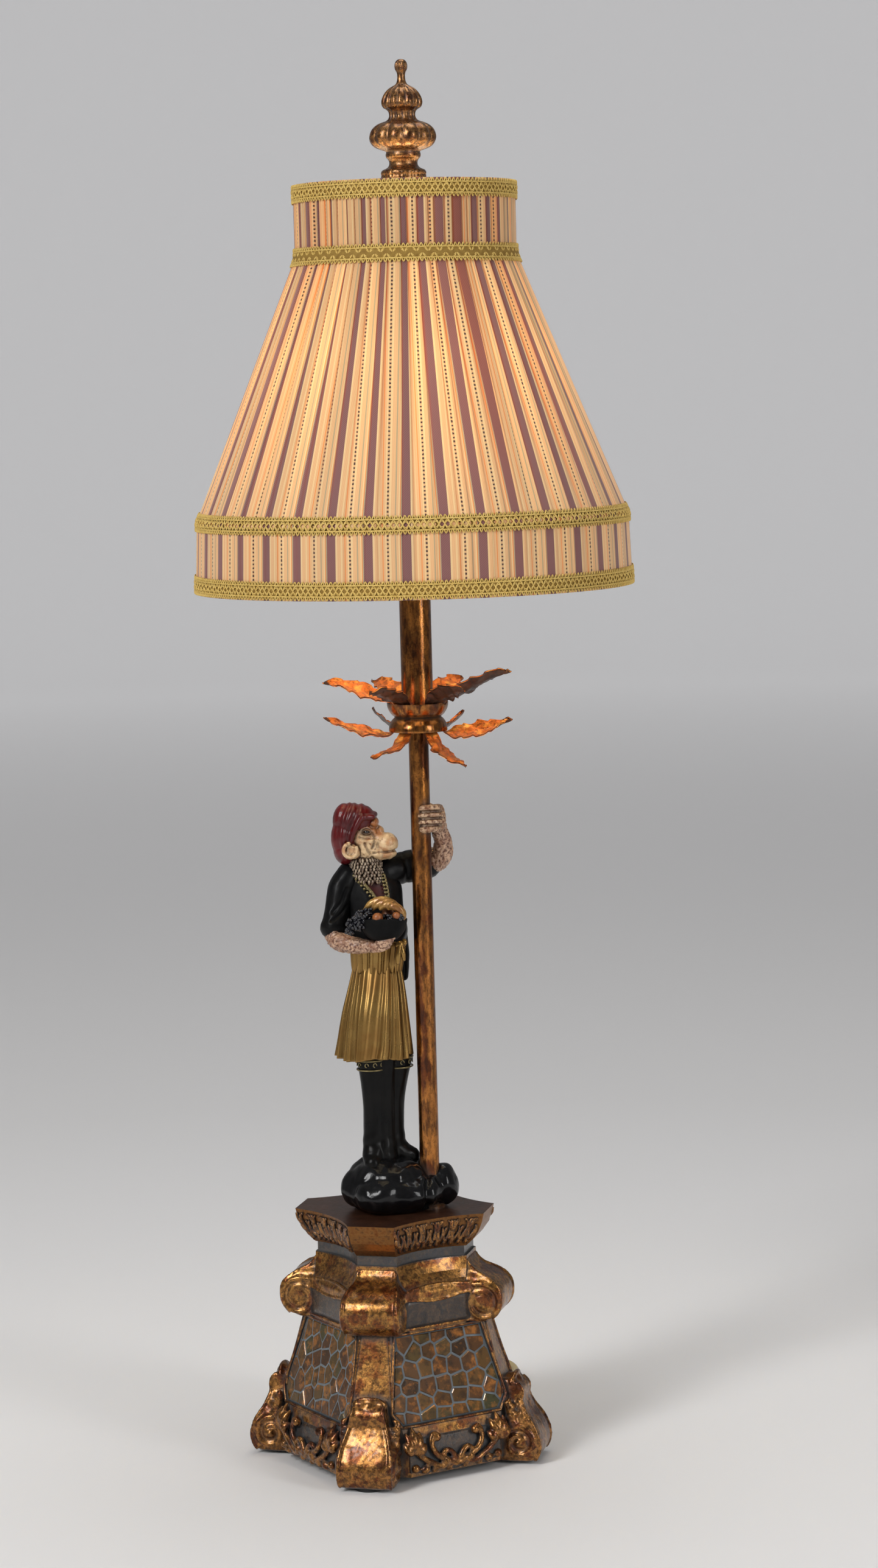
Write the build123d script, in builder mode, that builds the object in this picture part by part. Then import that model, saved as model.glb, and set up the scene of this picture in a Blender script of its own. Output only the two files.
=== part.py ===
from build123d import *
import os
from math import atan2, cos, degrees, hypot, pi, radians, sin, sqrt, tan

# Figural table lamp, in millimetres. +Z is up, the pole stands on the Z axis and z = 0 is the table.
# The plinth is a square whose cut corners lie on the X and Y directions from its own centre.

os.makedirs("parts", exist_ok=True)

# ---------------------------------------------------------------- driving dimensions
# Plinth: reach is from its centre to a cut corner, side is from its centre to the middle of a side
plinth_x = -24.0  # the pole stands to the right of the plinth's centre
pad_height = 2.0
pad_radius = 9.0
body_foot = 5.0  # underside of the hollow casting
body_top = 141.5
wall = 7.0
bell_top = 92.0
pilaster_bottom = 50.0
foot_seat = 71.5  # flat corner face that carries a scroll foot
scroll_seat = 50.0  # flat corner face that carries a corner scroll
shoulder_side = 50.0
neck_reach = 48.5
neck_half = 13.0
neck_side = 38.0
groove_height = 6.5
cap_thickness = 21.5
cap_reach = 62.3
cap_half = 15.0
cap_side = 48.0
cover_thickness = 3.0
panel_bottom = 37.0
panel_top = 95.0
panel_depth = 2.0
foot_reach = 97.0
foot_half_top = 11.0
foot_half_bottom = 18.0
scroll_reach = 73.5
scroll_half_top = 14.0
scroll_half_bottom = 18.0
scroll_eye_reach = 62.0
scroll_eye_z = 103.0
scroll_radius = 11.0
apron_bottom = 6.0
apron_top = 32.0
apron_thickness = 3.0
ballast_size = 66.0
ballast_height = 20.0

# Pole, leaves and candle tube
rod_radius = 5.1
rod_bore = 3.4
rod_bottom = 112.0
slip = 0.1  # radial clearance of a rod or stud in its hole
pole_radius = 6.35
pole_wall = 0.9
ring_radius = 9.5
ring_height = 3.0
dome_rim_z = 471.0
dome_rim_radius = 18.5
joint_z = 480.0  # where the dome and the cup meet
joint_radius = 14.5
cup_rim_z = 489.0
cup_rim_radius = 19.5
sheet = 0.8  # thickness of the leaves' sheet metal
leaf_hub_radius = 12.0
leaf_width = 15.0
leaf_reach = 60.0
leaves_per_tier = 6
candle_radius = 10.0
candle_wall = 1.0
candle_top = 598.0
check_height = 2.0

# Socket, bulb and harp
saddle_thickness = 1.6
saddle_half = 31.0
saddle_width = 14.0
post_radius = 1.8
post_height = 10.4
socket_radius = 16.5
socket_wall = 0.8
cap_height = 18.4
shell_height = 40.0
bulb_thread = 13.0
bulb_neck = 13.8
bulb_radius = 30.0
bulb_length = 86.0
knob_radius = 5.5
knob_length = 12.0
stem_radius = 2.5
harp_wire_radius = 1.8
harp_top = 801.5
harp_half = 57.0
sleeve_radius = 3.2
sleeve_length = 14.0
sleeve_slip = 0.1
stud_radius = 3.1
stud_seat_radius = 9.0

# Shade: outer radius of the cloth at four heights
shade_top = 815.0
shade_collar = 770.0
shade_break = 607.0
shade_bottom = 562.0
collar_radius = 69.6
break_radius = 136.2
hem_radius = 138.0
cloth = 0.8
liner_gap = 4.2  # from the cloth's outer face to the liner's
liner_cloth = 0.6
frame_wire = 1.3
rib_wire = 1.1
arm_wire = 0.8  # the spider's arms
rib_count = 8
trim_height = 12.0
trim_thickness = 1.5

# Finial
finial_top = 891.6

# Cord
cord_diameter = 6.0
cord_rest = 3.5  # height of the cord's centre where it lies on its strap
turn_pitch = 6.6
coil_outer = 47.0
coil_turns = 6.6389
coil_centre = (10.0, 160.0)
bushing_length = 24.0
bushing_z = 15.0
plug_length = 28.0
plug_width = 17.0
plug_height = 13.0

# The figure and the cord are laid out as seen from the front of the lamp, which is turned from X
front_turn = 13.6


def seen(u, v, z):
    """A point given to the right, to the back and up, as seen from the lamp's front."""
    turn = radians(front_turn)
    return Vector(u * cos(turn) - v * sin(turn), u * sin(turn) + v * cos(turn), z)


def seen_plane(u, v, z):
    """A level plane at such a point, with its x to the right."""
    return Plane(origin=seen(u, v, z), x_dir=seen(1, 0, 0), z_dir=(0, 0, 1))


# ---------------------------------------------------------------- plinth
def plinth_plane(z):
    return Plane(origin=(plinth_x, 0, z))


def corner_plane(quarter):
    """x outwards through a corner, y up, z across the corner."""
    turn = radians(90 * quarter)
    return Plane(origin=(plinth_x, 0, 0), x_dir=(cos(turn), sin(turn), 0), z_dir=(sin(turn), -cos(turn), 0))


def side_plane(quarter):
    """x outwards through the middle of a side, y up, z along the side."""
    turn = radians(90 * quarter + 45)
    return Plane(origin=(plinth_x, 0, 0), x_dir=(cos(turn), sin(turn), 0), z_dir=(sin(turn), -cos(turn), 0))


def across_plane(quarter):
    """x along a side, y up, z outwards through the middle of that side."""
    turn = radians(90 * quarter + 45)
    return Plane(origin=(plinth_x, 0, 0), x_dir=(-sin(turn), cos(turn), 0), z_dir=(cos(turn), sin(turn), 0))


def flank_plane(quarter):
    """x across a corner, y up, z outwards through that corner."""
    turn = radians(90 * quarter)
    return Plane(origin=(plinth_x, 0, 0), x_dir=(-sin(turn), cos(turn), 0), z_dir=(cos(turn), sin(turn), 0))


def straight_half(reach, side):
    """Half width of a cut corner that leaves the sides straight."""
    return side * sqrt(2) - reach


def outline(reach, half, side):
    """The plinth's outline: four cut corners, and sides drawn in to `side` at their middles."""
    straight = abs((reach + half) / sqrt(2) - side) < 0.05
    with BuildSketch() as shape:
        with BuildLine():
            for quarter in range(4):
                turn = 90 * quarter
                first = Vector(reach, -half, 0).rotate(Axis.Z, turn)
                last = Vector(reach, half, 0).rotate(Axis.Z, turn)
                following = Vector(half, reach, 0).rotate(Axis.Z, turn)
                middle = Vector(side / sqrt(2), side / sqrt(2), 0).rotate(Axis.Z, turn)
                Line(first, last)
                if straight:
                    Line(last, following)
                else:
                    ThreePointArc(last, middle, following)
        make_face()
    return shape.sketch_local


# The bell, from its foot up: height, reach of the corners and of the straight sides
bell = [
    (body_foot, foot_seat, 68.0),
    (20.0, foot_seat, 67.5),
    (34.0, foot_seat, 64.5),
    (pilaster_bottom, foot_seat, 60.4),
    (60.0, 69.0, 57.9),
    (75.0, 64.6, 53.7),
    (bell_top, 60.0, 49.3),
]
# The shoulder and the neck above it: height, reach, half width of the corner, side
shoulder = [
    (bell_top, scroll_seat, straight_half(scroll_seat, shoulder_side), shoulder_side),
    (118.0, scroll_seat, straight_half(scroll_seat, shoulder_side), shoulder_side),
    (122.0, scroll_seat, 17.0, 46.3),
    (127.0, scroll_seat, 14.5, 42.5),
    (body_top - groove_height, scroll_seat, neck_half, 40.0),
]
groove = [
    (body_top - groove_height, neck_reach, neck_half, neck_side),
    (body_top, neck_reach, neck_half, neck_side),
]
# The hollow, one wall inside
cavity_top = body_top - groove_height - wall
hollow = [
    (body_foot, foot_seat - wall, 68.0 - wall),
    (34.0, foot_seat - wall, 64.5 - wall),
    (pilaster_bottom, foot_seat - wall, 60.4 - wall),
    (75.0, 64.6 - wall - 2, 53.7 - wall - 2),
    (bell_top, scroll_seat - wall, 49.3 - wall - 2),
]
throat = [
    (bell_top, scroll_seat - wall, straight_half(scroll_seat - wall, 40.3), 40.3),
    (cavity_top, scroll_seat - wall, 10.0, 35.0),
]
rebate_reach = foot_seat - wall + 2.5
rebate_side = 68.0 - wall + 2.0
cover_z = body_foot + 0.5


def bell_side(z):
    """Reach of the bell's side at a height, between the heights listed above."""
    for (low, _, near), (high, _, far) in zip(bell, bell[1:]):
        if low <= z <= high:
            return near + (far - near) * (z - low) / (high - low)
    return bell[-1][2]


def panel(quarter):
    """One mosaic panel: it follows the side's slope and narrows towards the top."""
    heights = [panel_bottom] + [z for z, _, _ in bell if panel_bottom < z < bell_top] + [bell_top - 0.5]
    face_line = [(bell_side(z), z) for z in heights]
    back_line = [(bell_side(z) - panel_depth, z) for z in heights]
    with BuildPart(mode=Mode.PRIVATE) as slab:
        with BuildSketch(side_plane(quarter)):
            with BuildLine():
                Polyline(face_line + back_line[::-1], close=True)
            make_face()
        extrude(amount=60, both=True)
        with BuildSketch(across_plane(quarter)):
            with BuildLine():
                Polyline(
                    (-36.0, panel_bottom),
                    (36.0, panel_bottom),
                    (42.0, panel_bottom + 9.0),
                    (32.0, bell_top - 0.5),
                    (-32.0, bell_top - 0.5),
                    (-42.0, panel_bottom + 9.0),
                    close=True,
                )
            make_face()
        extrude(amount=90, mode=Mode.INTERSECT)
    return slab.part


with BuildPart() as mosaic_panels:
    for quarter in range(4):
        add(panel(quarter))
mosaic_panels.part.label = "mosaic_panels"

bushing_angle = 135.0  # the cord leaves through the middle of the back left side
bushing_out = Vector(cos(radians(bushing_angle)), sin(radians(bushing_angle)), 0)
bushing_inner = Vector(plinth_x, 0, bushing_z) + bushing_out * (68.0 - wall)
bushing_root = 5.2
bushing_tip = 4.2

with BuildPart() as plinth_body:
    for low, high in zip(bell, bell[1:]):
        for z, reach, side in (low, high):
            with BuildSketch(plinth_plane(z)):
                add(outline(reach, straight_half(reach, side), side))
        loft(ruled=True)
    for low, high in zip(shoulder, shoulder[1:]):
        for z, reach, half, side in (low, high):
            with BuildSketch(plinth_plane(z)):
                add(outline(reach, half, side))
        loft(ruled=True)
    for z, reach, half, side in groove:
        with BuildSketch(plinth_plane(z)):
            add(outline(reach, half, side))
    loft(ruled=True)
    for low, high in zip(hollow, hollow[1:]):
        for z, reach, side in (low, high):
            with BuildSketch(plinth_plane(z)):
                add(outline(reach, straight_half(reach, side), side))
        loft(ruled=True, mode=Mode.SUBTRACT)
    for z, reach, half, side in throat:
        with BuildSketch(plinth_plane(z)):
            add(outline(reach, half, side))
    loft(ruled=True, mode=Mode.SUBTRACT)
    with BuildSketch(plinth_plane(body_foot)):
        add(outline(rebate_reach, straight_half(rebate_reach, rebate_side), rebate_side))
    extrude(amount=cover_z + cover_thickness - body_foot, mode=Mode.SUBTRACT)
    with BuildSketch(Plane.XY.offset(cavity_top - 1)):
        Circle(rod_radius + slip)
    extrude(amount=body_top, mode=Mode.SUBTRACT)
    with BuildSketch(Plane(origin=bushing_inner - bushing_out * 5, z_dir=bushing_out)):
        Circle(bushing_root)
    extrude(amount=30, mode=Mode.SUBTRACT)
    add(mosaic_panels.part, mode=Mode.SUBTRACT)
plinth_body.part.label = "plinth_body"
export_step(plinth_body.part, "parts/plinth_body.step")
export_step(mosaic_panels.part, "parts/mosaic_panels.step")

with BuildPart() as platform_cap:
    # a moulding that bulges outwards towards its flat top
    moulding = [
        (body_top, neck_reach + 1.5, neck_half, neck_side + 1.0),
        (body_top + 4.5, 54.9, 13.6, 42.5),
        (body_top + 9.5, 58.4, 14.2, 45.2),
        (body_top + 15.5, 60.9, 14.7, 47.0),
        (body_top + cap_thickness, cap_reach, cap_half, cap_side),
    ]
    for low, high in zip(moulding, moulding[1:]):
        for z, reach, half, side in (low, high):
            with BuildSketch(plinth_plane(z)):
                add(outline(reach, half, side))
        loft(ruled=True)
    with BuildSketch(Plane.XY.offset(body_top)):
        Circle(rod_radius + slip)
    extrude(amount=cap_thickness, mode=Mode.SUBTRACT)
platform_cap.part.label = "platform_cap"
export_step(platform_cap.part, "parts/platform_cap.step")
platform_z = body_top + cap_thickness

with BuildPart() as bottom_cover:
    with BuildSketch(plinth_plane(cover_z)):
        add(outline(rebate_reach, straight_half(rebate_reach, rebate_side), rebate_side))
    extrude(amount=cover_thickness)
bottom_cover.part.label = "bottom_cover"
export_step(bottom_cover.part, "parts/bottom_cover.step")

with BuildPart() as ballast:
    # an iron block on the side away from the pole, clear of the cord's way up
    with BuildSketch(Plane(origin=(plinth_x - 6, -8, cover_z + cover_thickness), x_dir=(1, 1, 0), z_dir=(0, 0, 1))):
        RectangleRounded(ballast_size, ballast_size, 6)
    extrude(amount=ballast_height)
ballast.part.label = "ballast"
export_step(ballast.part, "parts/ballast.step")

with BuildPart() as scroll_feet:
    # a lobe at the top, a hollow below it, and a bulge that rests on its pad
    for quarter in range(4):
        with BuildSketch(corner_plane(quarter)):
            with BuildLine():
                Line((foot_seat, pad_height), (foot_reach - 5.0, pad_height))
                ThreePointArc((foot_reach - 5.0, pad_height), (foot_reach, 13.0), (foot_reach - 4.5, 26.0))
                ThreePointArc((foot_reach - 4.5, 26.0), (87.0, 34.0), (84.5, 42.0))
                ThreePointArc((84.5, 42.0), (84.6, 49.5), (78.5, 54.0))
                Line((78.5, 54.0), (foot_seat, pilaster_bottom))
                Line((foot_seat, pilaster_bottom), (foot_seat, pad_height))
            make_face()
        extrude(amount=foot_half_bottom, both=True)
    for quarter in range(4):
        # narrow the lobe: cut both flanks back on a slope
        for flank in (-1, 1):
            with BuildSketch(flank_plane(quarter)):
                with BuildLine():
                    Polyline(
                        (flank * foot_half_bottom, 24.0),
                        (flank * (foot_half_bottom + 20), 24.0),
                        (flank * (foot_half_bottom + 20), 70.0),
                        (flank * foot_half_top, 70.0),
                        (flank * foot_half_top, 46.0),
                        close=True,
                    )
                make_face()
            extrude(amount=foot_reach + 10, mode=Mode.SUBTRACT)
scroll_feet.part.label = "scroll_feet"
export_step(scroll_feet.part, "parts/scroll_feet.step")

with BuildPart() as corner_scrolls:
    # each flows down from the neck and rolls over into a volute, seen on its two ends
    for quarter in range(4):
        with BuildSketch(corner_plane(quarter)):
            with BuildLine():
                Line((scroll_seat, bell_top), (scroll_seat, 133.0))
                ThreePointArc((scroll_seat, 133.0), (54.0, 126.5), (61.0, 122.5))
                ThreePointArc((61.0, 122.5), (69.5, 118.0), (scroll_reach, 108.0))
                ThreePointArc((scroll_reach, 108.0), (72.0, 98.5), (64.5, bell_top))
                Line((64.5, bell_top), (scroll_seat, bell_top))
            make_face()
        extrude(amount=scroll_half_bottom, both=True)
        with BuildSketch(corner_plane(quarter)):
            with Locations((scroll_eye_reach, scroll_eye_z)):
                Circle(8.0)
        extrude(amount=scroll_half_bottom + 1.2, both=True)
        for flank in (-1, 1):
            with BuildSketch(flank_plane(quarter)):
                with BuildLine():
                    Polyline(
                        (flank * scroll_half_bottom, 118.0),
                        (flank * (scroll_half_bottom + 10), 118.0),
                        (flank * (scroll_half_bottom + 10), 140.0),
                        (flank * neck_half, 140.0),
                        (flank * neck_half, 133.0),
                        close=True,
                    )
                make_face()
            extrude(amount=scroll_reach + 10, mode=Mode.SUBTRACT)
corner_scrolls.part.label = "corner_scrolls"
export_step(corner_scrolls.part, "parts/corner_scrolls.step")

with BuildPart() as apron_carvings:
    # the carved skirt between the feet, with a scalloped lower edge
    apron_half = 33.0
    scallops = 3
    for quarter in range(4):
        with BuildSketch(side_plane(quarter)):
            with BuildLine():
                Polyline(
                    (bell_side(apron_bottom), apron_bottom),
                    (bell_side(20.0), 20.0),
                    (bell_side(apron_top), apron_top),
                    (bell_side(apron_top) + 1.0, apron_top),
                    (bell_side(20.0) + apron_thickness, 20.0),
                    (bell_side(apron_bottom) + apron_thickness, apron_bottom),
                    close=True,
                )
            make_face()
        extrude(amount=apron_half, both=True)
        with BuildSketch(across_plane(quarter)):
            for step in range(scallops):
                with Locations(((step - (scallops - 1) / 2) * 2 * apron_half / scallops, apron_bottom - 2.5)):
                    Ellipse(8.5, 6.0)
        extrude(amount=bell[0][2] + apron_thickness + 5, mode=Mode.SUBTRACT)
    with BuildSketch(Plane(origin=bushing_inner, z_dir=bushing_out)):
        Circle(bushing_root)
    extrude(amount=30, mode=Mode.SUBTRACT)
apron_carvings.part.label = "apron_carvings"
export_step(apron_carvings.part, "parts/apron_carvings.step")

with BuildPart() as foot_pads:
    for quarter in range(4):
        centre = Vector(foot_reach - 5.0 - pad_radius - 1.0, 0, 0).rotate(Axis.Z, 90 * quarter)
        with BuildSketch(Plane(origin=(plinth_x + centre.X, centre.Y, 0))):
            Circle(pad_radius)
        extrude(amount=pad_height)
foot_pads.part.label = "foot_pads"
export_step(foot_pads.part, "parts/foot_pads.step")

# ---------------------------------------------------------------- rod, pole, leaves, candle tube
saddle_z = candle_top + check_height
socket_z = saddle_z + saddle_thickness
rod_top = socket_z + 8.0

with BuildPart() as threaded_rod:
    with BuildSketch(Plane.XY.offset(rod_bottom)):
        Circle(rod_radius)
        Circle(rod_bore, mode=Mode.SUBTRACT)
    extrude(amount=rod_top - rod_bottom)
threaded_rod.part.label = "threaded_rod"
export_step(threaded_rod.part, "parts/threaded_rod.step")

with BuildPart() as base_washer:
    with BuildSketch(Plane.XY.offset(cavity_top - 2.0)):
        Circle(12.0)
        Circle(rod_radius + slip, mode=Mode.SUBTRACT)
    extrude(amount=2.0)
base_washer.part.label = "base_washer"
export_step(base_washer.part, "parts/base_washer.step")

with BuildPart() as base_nut:
    with BuildSketch(Plane.XY.offset(cavity_top - 9.0)):
        RegularPolygon(10.0, 6)
        Circle(rod_radius + slip, mode=Mode.SUBTRACT)
    extrude(amount=7.0)
base_nut.part.label = "base_nut"
export_step(base_nut.part, "parts/base_nut.step")

dome_floor = joint_z - 2.5
hub_sheet_z = dome_floor - sheet

with BuildPart() as pole_tube:
    with BuildSketch(Plane.XY.offset(platform_z)):
        Circle(pole_radius)
        Circle(pole_radius - pole_wall, mode=Mode.SUBTRACT)
    extrude(amount=hub_sheet_z - platform_z)
pole_tube.part.label = "pole_tube"
export_step(pole_tube.part, "parts/pole_tube.step")

with BuildPart() as pole_foot_ring:
    with BuildSketch(Plane.XY.offset(platform_z)):
        Circle(ring_radius)
        Circle(pole_radius + slip, mode=Mode.SUBTRACT)
    extrude(amount=ring_height)
    chamfer(edges().filter_by(GeomType.CIRCLE).group_by(Axis.Z)[-1].sort_by(SortBy.RADIUS)[-1], 1.2)
pole_foot_ring.part.label = "pole_foot_ring"
export_step(pole_foot_ring.part, "parts/pole_foot_ring.step")

with BuildPart() as leaf_dome:
    with BuildSketch(Plane.XZ):
        with BuildLine():
            Line((rod_radius + slip, joint_z), (joint_radius, joint_z))
            ThreePointArc((joint_radius, joint_z), (17.6, 476.5), (dome_rim_radius, dome_rim_z))
            Line((dome_rim_radius, dome_rim_z), (dome_rim_radius - 1.2, dome_rim_z))
            ThreePointArc((dome_rim_radius - 1.2, dome_rim_z), (16.4, 475.0), (13.5, dome_floor))
            Line((13.5, dome_floor), (rod_radius + slip, dome_floor))
            Line((rod_radius + slip, dome_floor), (rod_radius + slip, joint_z))
        make_face()
    revolve(axis=Axis.Z)
leaf_dome.part.label = "leaf_dome"
export_step(leaf_dome.part, "parts/leaf_dome.step")

cup_floor = joint_z + 2.5
with BuildPart() as leaf_cup:
    with BuildSketch(Plane.XZ):
        with BuildLine():
            Line((rod_radius + slip, joint_z), (joint_radius, joint_z))
            ThreePointArc((joint_radius, joint_z), (18.2, 484.0), (cup_rim_radius, cup_rim_z))
            Line((cup_rim_radius, cup_rim_z), (cup_rim_radius - 1.2, cup_rim_z))
            ThreePointArc((cup_rim_radius - 1.2, cup_rim_z), (16.8, 485.3), (13.5, cup_floor))
            Line((13.5, cup_floor), (rod_radius + slip, cup_floor))
            Line((rod_radius + slip, cup_floor), (rod_radius + slip, joint_z))
        make_face()
    revolve(axis=Axis.Z)
leaf_cup.part.label = "leaf_cup"
export_step(leaf_cup.part, "parts/leaf_cup.step")


def leaf(angle, profile):
    """A leaf of bent sheet: its side view is a polyline of (radius, height), its plan a pointed oval."""
    turn = radians(angle)
    plane = Plane(origin=(0, 0, 0), x_dir=(cos(turn), sin(turn), 0), z_dir=(sin(turn), -cos(turn), 0))
    with BuildPart(mode=Mode.PRIVATE) as blade:
        with BuildSketch(plane):
            with BuildLine():
                Polyline(profile + [(r, z + sheet) for r, z in reversed(profile)], close=True)
            make_face()
        extrude(amount=leaf_width, both=True)
        with BuildSketch(Plane(origin=(0, 0, 440), x_dir=(cos(turn), sin(turn), 0), z_dir=(0, 0, 1))):
            tip = profile[-1][0]
            with BuildLine():
                Polyline((8.0, 2.6), (18.0, 3.0))
                ThreePointArc((18.0, 3.0), (36.0, leaf_width / 2), (tip, 0.6))
                Line((tip, 0.6), (tip, -0.6))
                ThreePointArc((tip, -0.6), (36.0, -leaf_width / 2), (18.0, -3.0))
                Polyline((18.0, -3.0), (8.0, -2.6), (8.0, 2.6))
            make_face()
        extrude(amount=80, mode=Mode.INTERSECT)
    return blade.part


lower_tips = [476.5, 478.0, 481.0, 480.5, 460.0, 453.0]
upper_tips = [507.0, 499.0, 498.5, 502.5, 499.0, 499.5]

with BuildPart() as lower_leaves:
    with BuildSketch(Plane.XY.offset(hub_sheet_z)):
        Circle(leaf_hub_radius)
        Circle(rod_radius + slip, mode=Mode.SUBTRACT)
    extrude(amount=sheet)
    for step, tip_z in enumerate(lower_tips):
        rim = (17.5, dome_rim_z - 2.2)
        middle = (38.0, (rim[1] + tip_z) / 2 - 3.0)
        profile = [(8.0, hub_sheet_z), (leaf_hub_radius, hub_sheet_z), rim, middle, (leaf_reach, tip_z)]
        add(leaf(front_turn + step * 360 / leaves_per_tier, profile))
lower_leaves.part.label = "lower_leaves"
export_step(lower_leaves.part, "parts/lower_leaves.step")

with BuildPart() as upper_leaves:
    with BuildSketch(Plane.XY.offset(cup_floor)):
        Circle(leaf_hub_radius)
        Circle(rod_radius + slip, mode=Mode.SUBTRACT)
    extrude(amount=sheet)
    for step, tip_z in enumerate(upper_tips):
        near_rim = (cup_rim_radius - 2.4, cup_rim_z + 0.2)
        rim = (cup_rim_radius + 0.8, cup_rim_z + 0.6)
        middle = (40.0, (rim[1] + tip_z) / 2 + 2.0)
        profile = [(8.0, cup_floor), (leaf_hub_radius, cup_floor), near_rim, rim, middle, (leaf_reach, tip_z)]
        add(leaf(front_turn + step * 360 / leaves_per_tier, profile))
upper_leaves.part.label = "upper_leaves"
export_step(upper_leaves.part, "parts/upper_leaves.step")

with BuildPart() as candle_tube:
    with BuildSketch(Plane.XY.offset(cup_floor + sheet)):
        Circle(candle_radius)
        Circle(candle_radius - candle_wall, mode=Mode.SUBTRACT)
    extrude(amount=candle_top - cup_floor - sheet)
candle_tube.part.label = "candle_tube"
export_step(candle_tube.part, "parts/candle_tube.step")

with BuildPart() as check_ring:
    with BuildSketch(Plane.XY.offset(candle_top)):
        Circle(candle_radius + 0.8)
        Circle(rod_radius + slip, mode=Mode.SUBTRACT)
    extrude(amount=check_height)
check_ring.part.label = "check_ring"
export_step(check_ring.part, "parts/check_ring.step")

# ---------------------------------------------------------------- socket, bulb, harp
with BuildPart() as harp_saddle:
    with BuildSketch(Plane.XY.offset(saddle_z)):
        SlotOverall(2 * saddle_half + 8, saddle_width)
        Circle(rod_radius + slip, mode=Mode.SUBTRACT)
    extrude(amount=saddle_thickness)
    with BuildSketch(Plane.XY.offset(socket_z)):
        with Locations((saddle_half, 0), (-saddle_half, 0)):
            Circle(post_radius)
    extrude(amount=post_height)
harp_saddle.part.label = "harp_saddle"
export_step(harp_saddle.part, "parts/harp_saddle.step")

shell_z = socket_z + cap_height
with BuildPart() as socket_cap:
    with BuildSketch(Plane.XZ):
        with BuildLine():
            Polyline((rod_radius + slip, socket_z), (9.0, socket_z), (11.0, socket_z + 5.0))
            ThreePointArc((11.0, socket_z + 5.0), (15.2, socket_z + 8.6), (socket_radius, shell_z - 6.0))
            Polyline((socket_radius, shell_z - 6.0), (socket_radius, shell_z), (socket_radius - 1.0, shell_z))
            Polyline((socket_radius - 1.0, shell_z), (socket_radius - 1.0, shell_z - 6.0), (9.6, socket_z + 8.6))
            Polyline((9.6, socket_z + 8.6), (rod_radius + slip, socket_z + 8.6), (rod_radius + slip, socket_z))
        make_face()
    revolve(axis=Axis.Z)
socket_cap.part.label = "socket_cap"
export_step(socket_cap.part, "parts/socket_cap.step")

knob_z = shell_z + 10.0
with BuildPart() as socket_shell:
    with BuildSketch(Plane.XY.offset(shell_z)):
        Circle(socket_radius)
        Circle(socket_radius - socket_wall, mode=Mode.SUBTRACT)
    extrude(amount=shell_height)
    with BuildSketch(Plane(origin=(0, 0, knob_z), x_dir=(1, 0, 0), z_dir=(0, 1, 0))):
        Circle(stem_radius + 0.6)
    extrude(amount=30, mode=Mode.SUBTRACT)
socket_shell.part.label = "socket_shell"
export_step(socket_shell.part, "parts/socket_shell.step")

core_radius = socket_radius - socket_wall - 0.2
core_floor = shell_z + 16.0  # the switch is below it, the bulb's thread above
with BuildPart() as socket_core:
    with BuildSketch(Plane.XY.offset(shell_z + 0.6)):
        Circle(core_radius)
    extrude(amount=shell_height - 1.6)
    with BuildSketch(Plane.XY.offset(core_floor)):
        Circle(bulb_thread + slip)
    extrude(amount=shell_height, mode=Mode.SUBTRACT)
    with BuildSketch(Plane(origin=(0, 6.0, knob_z), x_dir=(1, 0, 0), z_dir=(0, 1, 0))):
        Circle(stem_radius + slip)
    extrude(amount=30, mode=Mode.SUBTRACT)
socket_core.part.label = "socket_core"
export_step(socket_core.part, "parts/socket_core.step")

with BuildPart() as switch_knob:
    with BuildSketch(Plane(origin=(0, 6.4, knob_z), x_dir=(1, 0, 0), z_dir=(0, 1, 0))):
        Circle(stem_radius)
    extrude(amount=knob_length + 11.0)
    with BuildSketch(Plane(origin=(0, socket_radius + 1.4, knob_z), x_dir=(1, 0, 0), z_dir=(0, 1, 0))):
        Circle(knob_radius)
        with PolarLocations(knob_radius + 0.5, 12):
            Circle(0.9, mode=Mode.SUBTRACT)
    extrude(amount=knob_length)
switch_knob.part.label = "switch_knob"
export_step(switch_knob.part, "parts/switch_knob.step")

bulb_seat = core_floor + 0.3
bulb_z = bulb_seat + 24.5
with BuildPart() as bulb_base:
    with BuildSketch(Plane.XZ):
        with BuildLine():
            Polyline((0, bulb_seat), (5.0, bulb_seat), (bulb_thread, bulb_seat + 5.0), (bulb_thread, bulb_z), (0, bulb_z))
            Line((0, bulb_z), (0, bulb_seat))
        make_face()
    revolve(axis=Axis.Z)
bulb_base.part.label = "bulb_base"
export_step(bulb_base.part, "parts/bulb_base.step")

with BuildPart() as bulb_glass:
    with BuildSketch(Plane.XZ):
        with BuildLine():
            Polyline((0, bulb_z), (bulb_neck, bulb_z), (bulb_neck, bulb_z + 8.0))
            waist = (bulb_neck + 3.0, bulb_z + 22.0)
            belly = (bulb_radius, bulb_z + bulb_length - bulb_radius)
            ThreePointArc((bulb_neck, bulb_z + 8.0), (bulb_neck + 0.8, bulb_z + 15.0), waist)
            ThreePointArc(waist, (bulb_radius - 3.0, bulb_z + 40.0), belly)
            RadiusArc(belly, (0, bulb_z + bulb_length), -bulb_radius)
            Line((0, bulb_z + bulb_length), (0, bulb_z))
        make_face()
    revolve(axis=Axis.Z)
bulb_glass.part.label = "bulb_glass"
export_step(bulb_glass.part, "parts/bulb_glass.step")

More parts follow.
